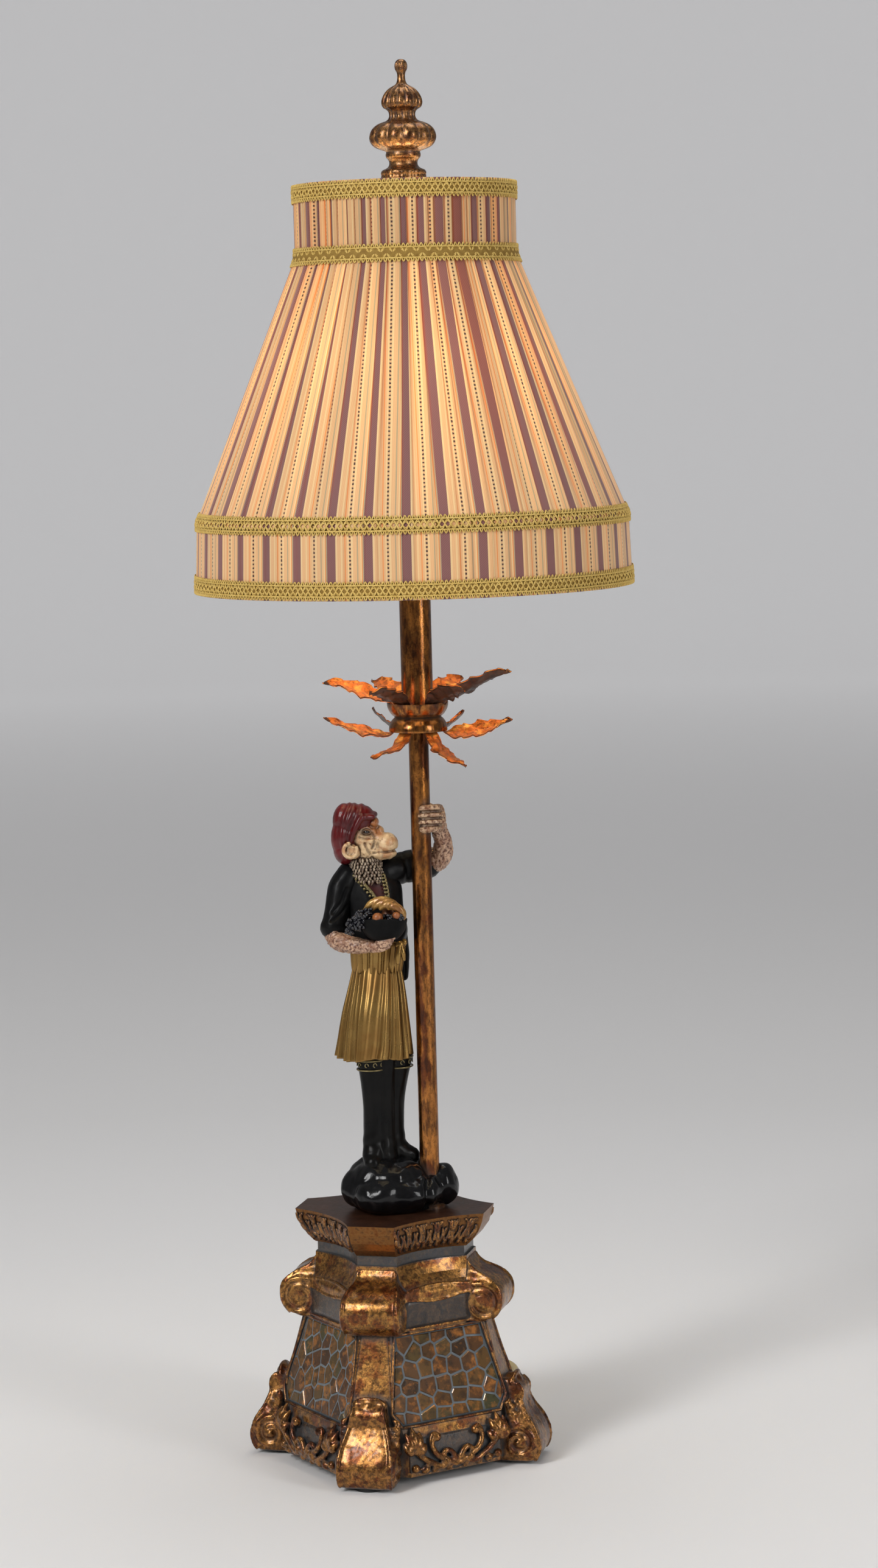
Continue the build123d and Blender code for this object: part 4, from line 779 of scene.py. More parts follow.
def coil_point(turns):
    inner = COIL_OUTER - TURN_PITCH * LAYER_TURNS
    if turns <= LAYER_TURNS:
        radius, z = COIL_OUTER - TURN_PITCH * turns, CORD_REST
    elif turns >= LAYER_TURNS + 2 * HALF_CLIMB:
        radius = inner + TURN_PITCH * (turns - LAYER_TURNS - 2 * HALF_CLIMB)
        z = CORD_REST + TURN_PITCH
    else:
        share = (turns - LAYER_TURNS) / (2 * HALF_CLIMB)
        radius = inner - TURN_PITCH * 2 * HALF_CLIMB * share * (1 - share)
        z = CORD_REST + TURN_PITCH * share * share * (3 - 2 * share)
    angle = math.radians(COIL_START + 360 * turns)
    return seen(COIL_CENTRE[0] + radius * math.cos(angle), COIL_CENTRE[1] + radius * math.sin(angle), z)


def coil_tangent(turns):
    low = max(turns - 1e-4, 0)
    high = min(turns + 1e-4, COIL_TURNS)
    step = coil_point(high) - coil_point(low)
    return step / np.linalg.norm(step)


def cord_curve(name, points, material, replaces):
    data = bpy.data.curves.new(name, "CURVE")
    data.dimensions = "3D"
    data.bevel_depth = CORD / 2 * MM
    data.bevel_resolution = 5
    data.resolution_u = 8
    data.use_fill_caps = True
    spline = data.splines.new("NURBS")
    spline.points.add(len(points) - 1)
    for item, point in zip(spline.points, points):
        item.co = (*(np.asarray(point, float) * MM), 1)
    spline.order_u = 3
    spline.use_endpoint_u = True
    data.materials.append(material)
    piece = bpy.data.objects.new(name, data)
    scene.collection.objects.link(piece)
    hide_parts(replaces)
    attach(piece, "base")
    return piece


coil_in = coil_point(0) - coil_tangent(0) * CORD
coil_out = coil_point(COIL_TURNS) + coil_tangent(COIL_TURNS) * CORD
lead_route = [
    BUSHING_OUTER,
    BUSHING_OUTER + BUSHING_OUT * LEAD_IN,
    seen(-84.5, 115.5, 9.6),
    seen(-77.5, 133.5, 4.2),
    seen(-62.0, 142.0, CORD_REST),
    seen(-42.0, 137.0, CORD_REST),
    coil_in - coil_tangent(0) * LEAD_IN,
    coil_in,
]
TURN_POINTS = 16
# control points of a turn lie a little outside the line that the spline follows
ease_out = 1 / math.cos(math.pi / TURN_POINTS)
coil_route = [coil_in, coil_point(0) - coil_tangent(0) * 1.0]
coil_steps = int(round(COIL_TURNS * TURN_POINTS))
for step in range(coil_steps):
    turns = (step + 0.5) * COIL_TURNS / coil_steps
    point = coil_point(turns)
    centre = seen(COIL_CENTRE[0], COIL_CENTRE[1], point[2])
    coil_route.append(centre + (point - centre) * (1 + 0.5 * (ease_out - 1)))
coil_route += [coil_point(COIL_TURNS) + coil_tangent(COIL_TURNS) * 1.0, coil_out]
tail_route = [
    coil_out,
    coil_out + coil_tangent(COIL_TURNS) * LEAD_IN,
    seen(-46.0, 192.5, 8.6),
    seen(-60.5, 187.0, PLUG_REST),
    seen(-70.0, 176.0, PLUG_REST),
]
lead = cord_curve("lead_cord", lead_route, cord_vinyl, "cord_lead")
coil = cord_curve("coil_cord", coil_route, cord_vinyl, "cord_coil")
tail = cord_curve("tail_cord", tail_route, cord_vinyl, "cord_tail")


# ---------------------------------------------------------------- shade
SHADE_TOP = 815.0
SHADE_COLLAR = 770.0
SHADE_BREAK = 607.0
SHADE_BOTTOM = 562.0
SHADE_LINE = [(SHADE_BOTTOM, 138.0), (SHADE_BREAK, 136.2), (SHADE_COLLAR, 69.6), (SHADE_TOP, 69.6)]
CLOTH = 0.8
PLEATS = 76
REPEATS = 37  # stripe repeats of the cloth around the hem
TRIM_HEIGHT = 12.0


def shade_radius(z):
    levels, radii = zip(*SHADE_LINE)
    return np.interp(z, levels, radii)


PLEAT_ACROSS = [0.0, 0.12, 0.3, 0.5, 0.7, 0.88, 1.0]
CLOTH_LEVELS = [
    *np.linspace(SHADE_BOTTOM, SHADE_BREAK, 12)[:-1],
    *np.linspace(SHADE_BREAK, SHADE_COLLAR, 40)[:-1],
    *np.linspace(SHADE_COLLAR, SHADE_TOP, 12),
]
DEPTH_LEVELS = [SHADE_BOTTOM, SHADE_BREAK - 6, SHADE_BREAK + 8, 700, SHADE_COLLAR, SHADE_TOP]
PLEAT_DEPTHS = [0.45, 0.4, 0.7, 1.2, 1.5, 1.3]
TURNED_BACK = 0.985


def pleated_grid():
    """Knife pleats, each over the next: points by height, with each point's stripe, place across and pleat's tone."""
    rng = random.Random(5)
    widths = np.array([rng.uniform(0.62, 1.38) for _ in range(PLEATS)])
    edges = np.concatenate([[0], np.cumsum(widths)]) / widths.sum()
    sway = [rng.uniform(-0.10, 0.10) for _ in range(PLEATS)]
    tones = [rng.random() for _ in range(PLEATS)]
    size = (len(CLOTH_LEVELS), PLEATS * len(PLEAT_ACROSS))
    outer = np.zeros((*size, 3))
    stripe, spread, tone = np.zeros((3, *size))
    for i, z in enumerate(CLOTH_LEVELS):
        radius = float(shade_radius(z))
        shown = radius / SHADE_LINE[0][1]
        depth = np.interp(z, DEPTH_LEVELS, PLEAT_DEPTHS)
        lean = np.interp(z, [SHADE_BOTTOM, SHADE_BREAK, SHADE_COLLAR, SHADE_TOP], [0.0, 0.0, 1.0, 1.0])
        for p in range(PLEATS):
            start = edges[p] + sway[p] * lean / PLEATS
            end = edges[p + 1] + sway[(p + 1) % PLEATS] * lean / PLEATS
            for k, t in enumerate(PLEAT_ACROSS):
                # the last point of a pleat turns back under the next one's edge
                angle = start + (end - start) * (t if t < 1 else TURNED_BACK)
                lift = depth * (math.sin(math.pi * 0.5 * min(t / 0.3, 1.0)) * 0.75 + 0.25 * t)
                r = radius - depth + lift - (0.0 if t < 1 else depth * 0.55)
                a = 2 * math.pi * angle
                j = p * len(PLEAT_ACROSS) + k
                outer[i, j] = (r * math.cos(a), r * math.sin(a), z)
                stripe[i, j] = (edges[p] + (edges[p + 1] - edges[p]) * (t * shown + (1 - shown) * 0.5)) * REPEATS
                spread[i, j] = t
                tone[i, j] = tones[p]
    return outer, stripe.ravel(), spread.ravel(), tone.ravel()


def add_shade_cloth():
    """The pleated cloth, wide at the hem and half hidden at the collar, with stripes and pleats as two maps."""
    outer, stripe, spread, tone = pleated_grid()
    rows, cols = outer.shape[:2]
    flat = outer.reshape(-1, 3)
    inward = flat.copy()
    inward[:, :2] *= (1 - (CLOTH - 0.25) / np.linalg.norm(flat[:, :2], axis=1))[:, None]
    verts = np.concatenate([flat, inward])
    skin = grid_faces(rows, cols, wrap_cols=True)
    total = rows * cols
    faces = skin + [tuple(v + total for v in reversed(f)) for f in skin]
    for j in range(cols):
        k = (j + 1) % cols
        faces.append((k, j, total + j, total + k))
        top = (rows - 1) * cols
        faces.append((top + j, top + k, total + top + k, total + top + j))
    cloth = mesh_piece("shade_cloth", (verts, faces), shade_cloth_paint(), "shade", "shade_fabric", ["shade_cover"])
    mesh = cloth.data
    vertex = np.empty(len(mesh.loops), np.int32)
    mesh.loops.foreach_get("vertex_index", vertex)
    grid = vertex % total
    for name, across, up in (("stripes", stripe[grid], verts[vertex][:, 2]), ("pleat", tone[grid], spread[grid])):
        layer = mesh.uv_layers.new(name=name)
        layer.data.foreach_set("uv", np.stack([across, up], 1).astype(np.float32).ravel())
    return cloth


MAUVE = (0.165, 0.070, 0.075)
PEACH = (0.70, 0.42, 0.21)
CREAM = (0.74, 0.53, 0.28)
TAUPE = (0.42, 0.33, 0.20)
ORANGE = (0.72, 0.26, 0.075)
DARK = (0.075, 0.035, 0.028)
# where each stripe of a repeat begins
STRIPES = [
    (0.0, MAUVE), (0.115, MAUVE), (0.122, CREAM), (0.17, PEACH), (0.27, CREAM), (0.31, PEACH), (0.375, ORANGE),
    (0.40, PEACH), (0.455, CREAM), (0.495, DARK), (0.545, CREAM), (0.60, PEACH), (0.70, TAUPE), (0.735, PEACH),
    (0.79, CREAM), (0.83, ORANGE), (0.855, TAUPE), (0.885, MAUVE),
]  # fmt: skip
# how strongly the lamp shines through, from the hem up
GLOW = [(0.0, 0.10), (0.19, 0.16), (0.4, 0.42), (0.58, 0.62), (0.78, 0.34), (0.83, 0.08), (1.0, 0.10)]


def shade_cloth_paint():
    """Striped cloth with the lamp's light through it painted as a glow: fine threads, twill bars, tufted dark lines
    and orange hairlines.
    """
    n = Nodes("striped_cloth")
    stripes = n.tree.nodes.new("ShaderNodeUVMap")
    stripes.uv_map = "stripes"
    u, v, _ = n.parts(stripes.outputs["UV"])
    pleat = n.tree.nodes.new("ShaderNodeUVMap")
    pleat.uv_map = "pleat"
    tone, across, _ = n.parts(pleat.outputs["UV"])
    place = n.math("FRACT", u)
    repeat = n.ramp(place, STRIPES, "CONSTANT")
    thread = n.math("FRACT", n.math("MULTIPLY", u, 44.0))
    thread = n.math("ABSOLUTE", n.math("SUBTRACT", thread, 0.5))
    thread_tone = n.ramp(thread, [(0.05, (0.72, 0.66, 0.58)), (0.22, WHITE)])
    cloth = n.mix(1.0, repeat, thread_tone, "MULTIPLY")
    # tufts along the dark lines
    in_line = n.ramp(place, [(0.0, BLACK), (0.495, WHITE), (0.545, BLACK)], "CONSTANT")
    beat = n.math("FRACT", n.math("MULTIPLY", v, 0.42))
    tuft = n.ramp(
        n.math("ADD", beat, n.math("MULTIPLY", n.math("SUBTRACT", n.noise(2.0, 2.0), 0.5), 0.9)),
        [(0.42, BLACK), (0.52, WHITE)]
    )
    cloth = n.mix(n.math("MULTIPLY", in_line, n.math("MULTIPLY", tuft, 0.8)), cloth, PEACH)
    # twill of the mauve bars
    bar = n.ramp(place, [(0.0, WHITE), (0.122, BLACK), (0.885, WHITE)], "CONSTANT")
    slant = n.math("FRACT", n.math("ADD", n.math("MULTIPLY", v, 0.95), n.math("MULTIPLY", u, 18.0)))
    twill = n.rises(slant, 0.4, 0.55)
    cloth = n.mix(n.math("MULTIPLY", bar, n.math("MULTIPLY", twill, 0.35)), cloth, (0.36, 0.17, 0.14))
    # pleats: some warm, some grey, and painted shade in deep red-orange where one dips under the next
    warm = n.ramp(
        tone,
        [(0.2, (0.86, 0.84, 0.80)), (0.5, (1.0, 0.93, 0.84)), (0.78, (1.05, 0.80, 0.60)), (0.95, (1.1, 0.64, 0.36))]
    )
    level = n.share(n.parts(n.coords.outputs["Object"])[2], SHADE_BOTTOM, SHADE_TOP)
    upper = n.ramp(level, [(0.17, (0.15, 0.15, 0.15)), (0.42, (0.6, 0.6, 0.6)), (0.8, WHITE)])
    cloth = n.cover(cloth, n.mix(1.0, cloth, warm, "MULTIPLY"), upper, 0.9)
    tuck_shade = n.falls(across, 0.02, 0.2)
    tuck_shade_fac = n.math("MULTIPLY", n.math("MULTIPLY", tuck_shade, upper), 0.85)
    cloth = n.mix(tuck_shade_fac, cloth, (0.30, 0.045, 0.012))
    n.set(color=cloth, rough=0.85, sheen=0.25)
    # the lamp's light through the cloth is painted as emission, by height and pleat
    glow = n.ramp(level, [(height, (grey,) * 3) for height, grey in GLOW])
    drift = n.ramp(tone, [(0.1, (0.5, 0.5, 0.5)), (0.45, (1.25, 1.25, 1.25)), (0.8, (0.8, 0.8, 0.8))])
    n.set(glow=n.mix(1.0, cloth, (1.0, 0.80, 0.50), "MULTIPLY"))
    n.set(glow_strength=n.math("MULTIPLY", n.math("MULTIPLY", glow, drift), 1.35))
    n.bump(thread, 0.25, 0.2)
    return n.mat


def closed_tube(points, radius, sides=5):
    """A ring of cord through points that close on themselves."""
    points = np.asarray(points, float)
    ahead = np.roll(points, -1, 0) - np.roll(points, 1, 0)
    ahead /= np.linalg.norm(ahead, axis=1)[:, None]
    outward = points * [1, 1, 0]
    outward /= np.linalg.norm(outward, axis=1)[:, None]
    outward -= ahead * (ahead * outward).sum(1)[:, None]
    outward /= np.linalg.norm(outward, axis=1)[:, None]
    beside = np.cross(ahead, outward)
    angles = 2 * np.pi * np.arange(sides) / sides
    rings = points[:, None] + radius * (
        np.cos(angles)[None, :, None] * outward[:, None] + np.sin(angles)[None, :, None] * beside[:, None]
    )
    return rings.reshape(-1, 3), grid_faces(len(points), sides, True, True)


EYE_PITCH = 7.2
LOOP_PITCH = 2.7
EDGE_PITCH = 9
GROUND_STEPS = 160


def add_braid(name, z_mid, material, node):
    """Woven edging: two pairs of cords cross in a row of eyes, with a row of loops along each edge."""
    girth = 2 * math.pi * float(shade_radius(z_mid))
    pile = Pile()

    def cord(radius, per_turn, steps, wave):
        count = per_turn * steps
        phase = 2 * np.pi * np.arange(count) / steps
        turn = 2 * np.pi * np.arange(count) / count
        dz, out = wave(phase)
        z = z_mid + dz
        r = shade_radius(z) + radius + 0.22 + out
        z_clear = np.stack([r * np.cos(turn), r * np.sin(turn), z], 1)
        pile.add(*closed_tube(z_clear, radius))

    eyes = int(round(girth / EYE_PITCH))
    for side in (1, -1):
        for within in (0.0, 0.95):
            cord(
                0.42,
                eyes,
                14,
                lambda p: (side * (2.75 - within) * np.sin(p), 0.32 * side * np.sin(2 * p) * np.ones_like(p)),
            )
    loops = int(round(girth / LOOP_PITCH))
    for edge in (1, -1):
        cord(0.44, loops, 8, lambda p: (edge * (4.25 + 1.25 * np.sin(p)), 0.12 * np.cos(p)))
    for level in (3.3, -3.3):
        cord(0.5, int(round(girth / EDGE_PITCH)), 4, lambda p: (level + 0 * p, 0 * p))
    # the woven ground behind the cords
    front = [(-4.6, 0.02), (-4.4, 0.42), (4.4, 0.42), (4.6, 0.02)]
    back = [(4.6, 0.01), (4.4, 0.01), (-4.4, 0.01), (-4.6, 0.01)]
    rows = [circle(shade_radius(z_mid + dz) + lift, z_mid + dz, GROUND_STEPS) for dz, lift in front + back]
    cords = len(pile.faces)
    pile.add(np.concatenate(rows), grid_faces(len(rows), GROUND_STEPS, True, True))
    braid = mesh_piece(name, pile.form(), material, "shade", "shade_gimp", [node])
    braid.data.materials.append(braid_ground)
    for face in braid.data.polygons[cords:]:
        face.material_index = 1
    return braid


# the yarn's hollows colour is painted shade between the cords
braid_yarn = painted(
    "braid_yarn", (0.74, 0.52, 0.15), (0.60, 0.39, 0.09), 0.6, size_mm=3.5, bump=0.3, painted_shade=(0.20, 0.12, 0.015),
    depth_mm=1.6
)
braid_ground = painted("braid_ground", (0.30, 0.18, 0.028), (0.22, 0.12, 0.016), 0.8, size_mm=2.5)
shade_cloth = add_shade_cloth()
BRAIDS = [
    ("braid_top", SHADE_TOP - TRIM_HEIGHT / 2, "shade_trim_top"),
    ("braid_collar", SHADE_COLLAR, "shade_trim_collar"),
    ("braid_break", SHADE_BREAK, "shade_trim_break"),
    ("braid_hem", SHADE_BOTTOM + TRIM_HEIGHT / 2, "shade_trim_hem"),
]
braids = [add_braid(name, height, braid_yarn, node) for name, height, node in BRAIDS]


# ---------------------------------------------------------------- finial
FINIAL_LINE = [
    (3.4, 817.0), (3.4, 807.5), (9.0, 807.5), (9.2, 813.8), (10.2, 815.4), (12.2, 816.0), (13.6, 816.9),
    (14.2, 818.2), (14.0, 819.9),
    (14.2, 821.4), (13.4, 823.0), (11.0, 824.1), (9.6, 825.2), (8.9, 826.8), (9.0, 828.6), (9.8, 830.0),
    (10.6, 830.9), (11.0, 832.4),
    (10.7, 834.0), (11.0, 834.8), (13.8, 835.8), (17.4, 837.2), (20.0, 839.4), (21.3, 842.2), (21.2, 845.0),
    (19.8, 848.2),
    (17.0, 850.8), (13.6, 852.4), (11.0, 853.2), (9.3, 854.4), (8.5, 856.0), (8.4, 857.6), (8.9, 859.4),
    (10.2, 860.7),
    (12.0, 861.8), (13.0, 863.6), (13.1, 865.6), (12.4, 868.0), (10.8, 870.8), (8.4, 873.2), (5.8, 874.8),
    (3.9, 875.9),
    (2.9, 877.6), (2.5, 879.6), (2.5, 882.0), (2.9, 883.6), (3.8, 885.2), (4.1, 887.2), (3.7, 889.3), (2.4, 890.9),
    (0.9, 891.5),
]  # fmt: skip


STUD_HOLE = 3.6  # within this radius the finial is plain


def add_finial():
    """Turned and gadrooned: twelve lobes on the large bulb, fourteen ribs on the small one."""
    line = np.array(FINIAL_LINE)
    fine = [*line[:3], *smooth_path(line[2:], 200)[1:]]
    cols = 168
    turns = 2 * np.pi * np.arange(cols) / cols
    rings = []
    for r, z in fine:
        big = np.interp(z, [835.2, 838, 843, 849, 853, 855], [0, 1.3, 2.0, 1.9, 1.2, 0.5])
        small = np.interp(z, [860.2, 862, 867, 872, 875.5], [0, 1.0, 1.5, 1.2, 0])
        neck = np.interp(z, [852, 854, 858, 861], [0, 0.55, 0.55, 0])
        bead = np.interp(z, [816.5, 818.2, 821.4, 822.6], [0, 0.35, 0.35, 0])
        lobes = 1 - np.abs(np.cos(turns * 6)) ** 0.8
        ribs = 1 - np.abs(np.cos(turns * 7)) ** 0.8
        beads = 1 - np.abs(np.cos(turns * 14)) ** 0.8
        offset = big * lobes + small * ribs + neck * lobes + bead * beads
        rings.append(circle(r - (offset if r > STUD_HOLE else 0), z, cols))
    return mesh_piece("finial_cast", capped_rings(rings), gilt_finial, "finial", "finial_gold", ["finial"])


add_finial()


# ---------------------------------------------------------------- leaves
LEAF_REACH = 60.0
HUB_RADIUS = 12.0
HUB_HOLE = 5.4
LOWER_HUB = 476.7
UPPER_HUB = 482.5
DOME_RIM = 471.0
CUP_RIM = (19.5, 489.0)
LEAF_SHEET = 0.8


def leaf_blade(angle, spine, seed, rolled, twist):
    """A serrated, rippled leaf of sheet metal along a (radius, height) spine."""
    rng = random.Random(seed)
    line = smooth_path(spine, 46)
    along = np.concatenate([[0], np.cumsum(np.linalg.norm(np.diff(line, axis=0), axis=1))])
    along /= along[-1]
    widths = np.interp(along, [0, 0.18, 0.3, 0.45, 0.62, 0.8, 0.93, 1], [3.2, 4.0, 5.6, 8.2, 8.6, 6.2, 2.8, 0.5])
    teeth = rng.uniform(0, 1)
    phase = [rng.uniform(0, 6.28) for _ in range(4)]
    spread = np.linspace(-1, 1, 13)
    c, s = math.cos(angle), math.sin(angle)
    slope = np.gradient(line, axis=0)
    slope /= np.linalg.norm(slope, axis=1)[:, None]
    grid = []
    for k, t in enumerate(along):
        row = []
        shown = np.interp(t, [0.22, 0.4], [0, 1])
        for w in spread:
            side = 1 if w > 0 else -1
            tooth = (t * 6.5 + teeth + 0.35 * side) % 1.0
            half = widths[k] * (1 - 0.30 * tooth * shown)
            roll = math.radians(twist) * shown
            fold = 1.5 * abs(w) ** 1.5 * rolled * shown
            wave = shown * (
                0.7 * math.sin(t * 19 + phase[0] + w * 1.5) * abs(w) + 0.35 * math.sin(t * 37 + phase[1] + 2 * w)
            )
            vein = -0.45 * math.exp(-((w / 0.13) ** 2)) + 0.22 * shown * math.sin(abs(w) * 9 - t * 30)
            sweep_ahead = -2.2 * abs(w) * shown
            lift = (fold + wave + vein) * math.cos(roll) + w * half * math.sin(roll)
            half *= math.cos(roll)
            r = line[k, 0] + slope[k, 0] * sweep_ahead - slope[k, 1] * lift
            z = line[k, 1] + slope[k, 1] * sweep_ahead + slope[k, 0] * lift
            row.append((r * c - w * half * s, r * s + w * half * c, z))
        grid.append(row)
    low = np.array(grid)
    return plate(low + [0, 0, LEAF_SHEET], low, flip=True)


def washer(inner, outer, low, high, cols=48):
    rows = [(inner, low), (inner, high), (outer, high), (outer, low)]
    return np.concatenate([circle(r, z, cols) for r, z in rows]), grid_faces(len(rows), cols, True, True)


def add_leaf_tier(name, hub_z, tips, spine_of, node, rolls, twists):
    pile = Pile()
    pile.add(*washer(HUB_HOLE, HUB_RADIUS + 0.3, hub_z, hub_z + LEAF_SHEET))
    for step, tip_z in enumerate(tips):
        angle = FRONT_TURN + 2 * math.pi * step / len(tips)
        pile.add(*leaf_blade(angle, spine_of(tip_z), 40 + step, rolls[step], twists[step]))
    return mesh_piece(name, pile.form(), leaf_metal, "base", "leaf_copper", [node])


def leaf_metal_paint():
    """Copper-orange leaf metal, brighter on faces that look up as painted light from above, and painted grey-black
    shade on faces that look down.
    """
    n = Nodes("leaf_metal")
    geometry = n.new("ShaderNodeNewGeometry")
    # faces that look up get copper lit from above as painted light, faces that look down get painted shade
    up = n.rises(n.parts(geometry.outputs["Normal"])[2], 0.0, 0.25)
    broad = n.noise(7.0, 4.0)
    fine = n.noise(2.0, 3.0)
    bright = n.ramp(broad, [(0.32, (0.66, 0.19, 0.03)), (0.5, (0.55, 0.12, 0.018)), (0.68, (0.78, 0.32, 0.06))])
    painted_underside_shade = n.ramp(broad, [(0.35, (0.055, 0.038, 0.030)), (0.62, (0.13, 0.06, 0.035))])
    color = n.mix(up, painted_underside_shade, bright)
    scuff = n.falls(fine, 0.38, 0.5)
    color = n.cover(color, (0.12, 0.035, 0.015), scuff, 0.6)
    n.set(color=color, metal=0.7, rough=0.34)
    n.bump(n.math("ADD", broad, n.math("MULTIPLY", fine, 0.5)), 0.5, 0.6)
    return n.mat


leaf_metal = leaf_metal_paint()


def lower_spine(tip_z):
    rim = (17.5, DOME_RIM - 2.2)
    middle = (38.0, (rim[1] + tip_z) / 2 - 3.0)
    return [
        (HUB_RADIUS - 4, LOWER_HUB), (HUB_RADIUS, LOWER_HUB - 0.2), rim, (27.0, (rim[1] + middle[1]) / 2 - 1.2),
        middle, (50.0, (middle[1] + tip_z) / 2 - 0.4), (LEAF_REACH, tip_z)
    ]


def upper_spine(tip_z):
    rim = (CUP_RIM[0] + 0.8, CUP_RIM[1] + 0.6)
    middle = (40.0, (rim[1] + tip_z) / 2 + 2.0)
    return [
        (HUB_RADIUS - 4, UPPER_HUB), (HUB_RADIUS, UPPER_HUB + 0.2), (CUP_RIM[0] - 2.4, CUP_RIM[1] + 0.2),
        (27.0, rim[1] + (middle[1] - rim[1]) * 0.4), middle, (50.0, (middle[1] + tip_z) / 2 + 0.8),
        (LEAF_REACH, tip_z)
    ]


LOWER_TIPS = [476.5, 478.0, 481.0, 480.5, 460.0, 453.0]
UPPER_TIPS = [507.0, 499.0, 498.5, 502.5, 499.0, 499.5]
LOWER_ROLLS = [1.0, 1.0, 1.2, 0.6, -0.8, -0.9]
UPPER_ROLLS = [1.2, 1.0, 1.0, 1.0, 1.3, 1.3]
LOWER_TWISTS = [32, -28, 40, -16, 14, -12]
UPPER_TWISTS = [-34, 30, -25, -30, 20, -38]
add_leaf_tier("leaves_low", LOWER_HUB, LOWER_TIPS, lower_spine, "lower_leaves", LOWER_ROLLS, LOWER_TWISTS)
add_leaf_tier("leaves_high", UPPER_HUB, UPPER_TIPS, upper_spine, "upper_leaves", UPPER_ROLLS, UPPER_TWISTS)


# ---------------------------------------------------------------- plinth
BELL = [
    (5.0, 71.5, 68.0), (20.0, 71.5, 67.5), (34.0, 71.5, 64.5), (50.0, 71.5, 60.4), (60.0, 69.0, 57.9),
    (75.0, 64.6, 53.7), (92.0, 60.0, 49.3)
]
PLATFORM = [
    (141.5, 50.0, 13.0, 39.0), (146.0, 54.9, 13.6, 42.5), (151.0, 58.4, 14.2, 45.2), (157.0, 60.9, 14.7, 47.0),
    (163.0, 62.3, 15.0, 48.0)
]
PANEL_LINE = [(37.0, 36.0), (46.0, 42.0), (91.5, 32.0)]  # height and half width of a panel


def bell_reach(z):
    return float(np.interp(z, [b[0] for b in BELL], [b[1] for b in BELL]))


def bell_side(z):
    return float(np.interp(z, [b[0] for b in BELL], [b[2] for b in BELL]))


def platform_side(z, along=0.0):
    """Reach of the platform's hollow side at a height and a distance from its middle."""
    reach, half, side = [float(np.interp(z, [b[0] for b in PLATFORM], [b[i] for b in PLATFORM])) for i in (1, 2, 3)]
    end = (reach - half) / math.sqrt(2)
    return side + ((reach + half) / math.sqrt(2) - side) * (along / end) ** 2


def quarter(point, turn):
    """Turns a point of the plinth's own axes by so many degrees and puts it in place."""
    x, y, z = point
    c, s = math.cos(math.radians(turn)), math.sin(math.radians(turn))
    return np.array([x * c - y * s + PLINTH_X, x * s + y * c, z])


def corner_point(step, out, along, z):
    return quarter((out, along, z), 90 * step)


def side_point(step, out, along, z):
    return quarter((out, along, z), 90 * step + 45)


def four_times(forms_of):
    """The forms of all four corners or sides."""
    return [form for step in range(4) for form in forms_of(step)]


def clip(polygon, point, normal):
    """Keeps the part of a convex polygon behind the line through point with that normal."""
    out = []
    for a, b in zip(polygon, polygon[1:] + polygon[:1]):
        da = (a[0] - point[0]) * normal[0] + (a[1] - point[1]) * normal[1]
        db = (b[0] - point[0]) * normal[0] + (b[1] - point[1]) * normal[1]
        if da <= 0:
            out.append(a)
        if (da < 0 < db) or (db < 0 < da):
            t = da / (da - db)
            out.append((a[0] + (b[0] - a[0]) * t, a[1] + (b[1] - a[1]) * t))
    return out


def tile_cells(seeds, outline, grout, squash):
    """Cells around the seeds within the outline, each set back by the grout."""
    cells = []
    for i, (x, z) in enumerate(seeds):
        cell = list(outline)
        for j, (x2, z2) in enumerate(seeds):
            if i == j or abs(x2 - x) > 40 or abs(z2 - z) > 40:
                continue
            dx, dz = (x2 - x) * squash, z2 - z
            length = math.hypot(dx * squash, dz)
            if length < 1e-6:
                continue
            normal = (dx * squash / length, dz / length)
            mid = ((x + x2) / 2, (z + z2) / 2)
            mid = (mid[0] - normal[0] * grout, mid[1] - normal[1] * grout)
            cell = clip(cell, mid, normal)
            if len(cell) < 3:
                break
        if len(cell) >= 3:
            cells.append(cell)
    return cells


def inset(polygon, amount):
    centre = np.mean(polygon, axis=0)
    out = list(polygon)
    for a, b in zip(polygon, polygon[1:] + polygon[:1]):
        dx, dz = b[0] - a[0], b[1] - a[1]
        length = math.hypot(dx, dz)
        if length < 1e-6:
            continue
        normal = (dz / length, -dx / length)
        if (centre[0] - a[0]) * normal[0] + (centre[1] - a[1]) * normal[1] > 0:
            normal = (-normal[0], -normal[1])
        point = (a[0] - normal[0] * amount, a[1] - normal[1] * amount)
        out = clip(out, point, normal)
        if len(out) < 3:
            return []
    return out


def panel_outline(margin):
    """A panel's six corners, set in by the margin."""
    (low, foot), (bend, wide), (high, top) = PANEL_LINE
    right = [(foot - margin, low + margin), (wide - margin, bend), (top - margin, high - margin)]
    left = [(-half, z) for half, z in right]
    return [left[0], *right, left[2], left[1]]


TILE_ROOT = 1.3
BEVEL = 0.45
GROUT_DEPTHS = (0.75, 1.9)  # its face and its back, from the side of the bell
SHARDS = 54
SHARD_TRIES = 40
SHARD_GAP = 6.4


def panel_seeds(step, rng):
    """Shards on two panels, loosely squared tiles on the other two."""
    seeds = []
    if step % 2 == 0:
        for _ in range(SHARDS):
            for _ in range(SHARD_TRIES):
                x, z = rng.uniform(-41, 41), rng.uniform(37, 91)
                if all(math.hypot(x - a, (z - b) * 0.75) > SHARD_GAP for a, b in seeds):
                    seeds.append((x, z))
                    break
    else:
        z = 41.0
        while z < 91:
            x = -40 + rng.uniform(0, 6)
            while x < 42:
                seeds.append((x + rng.uniform(-1.5, 1.5), z + rng.uniform(-2.0, 2.0)))
                x += rng.uniform(8.5, 15.0)
            z += rng.uniform(8.5, 11.0)
    return seeds


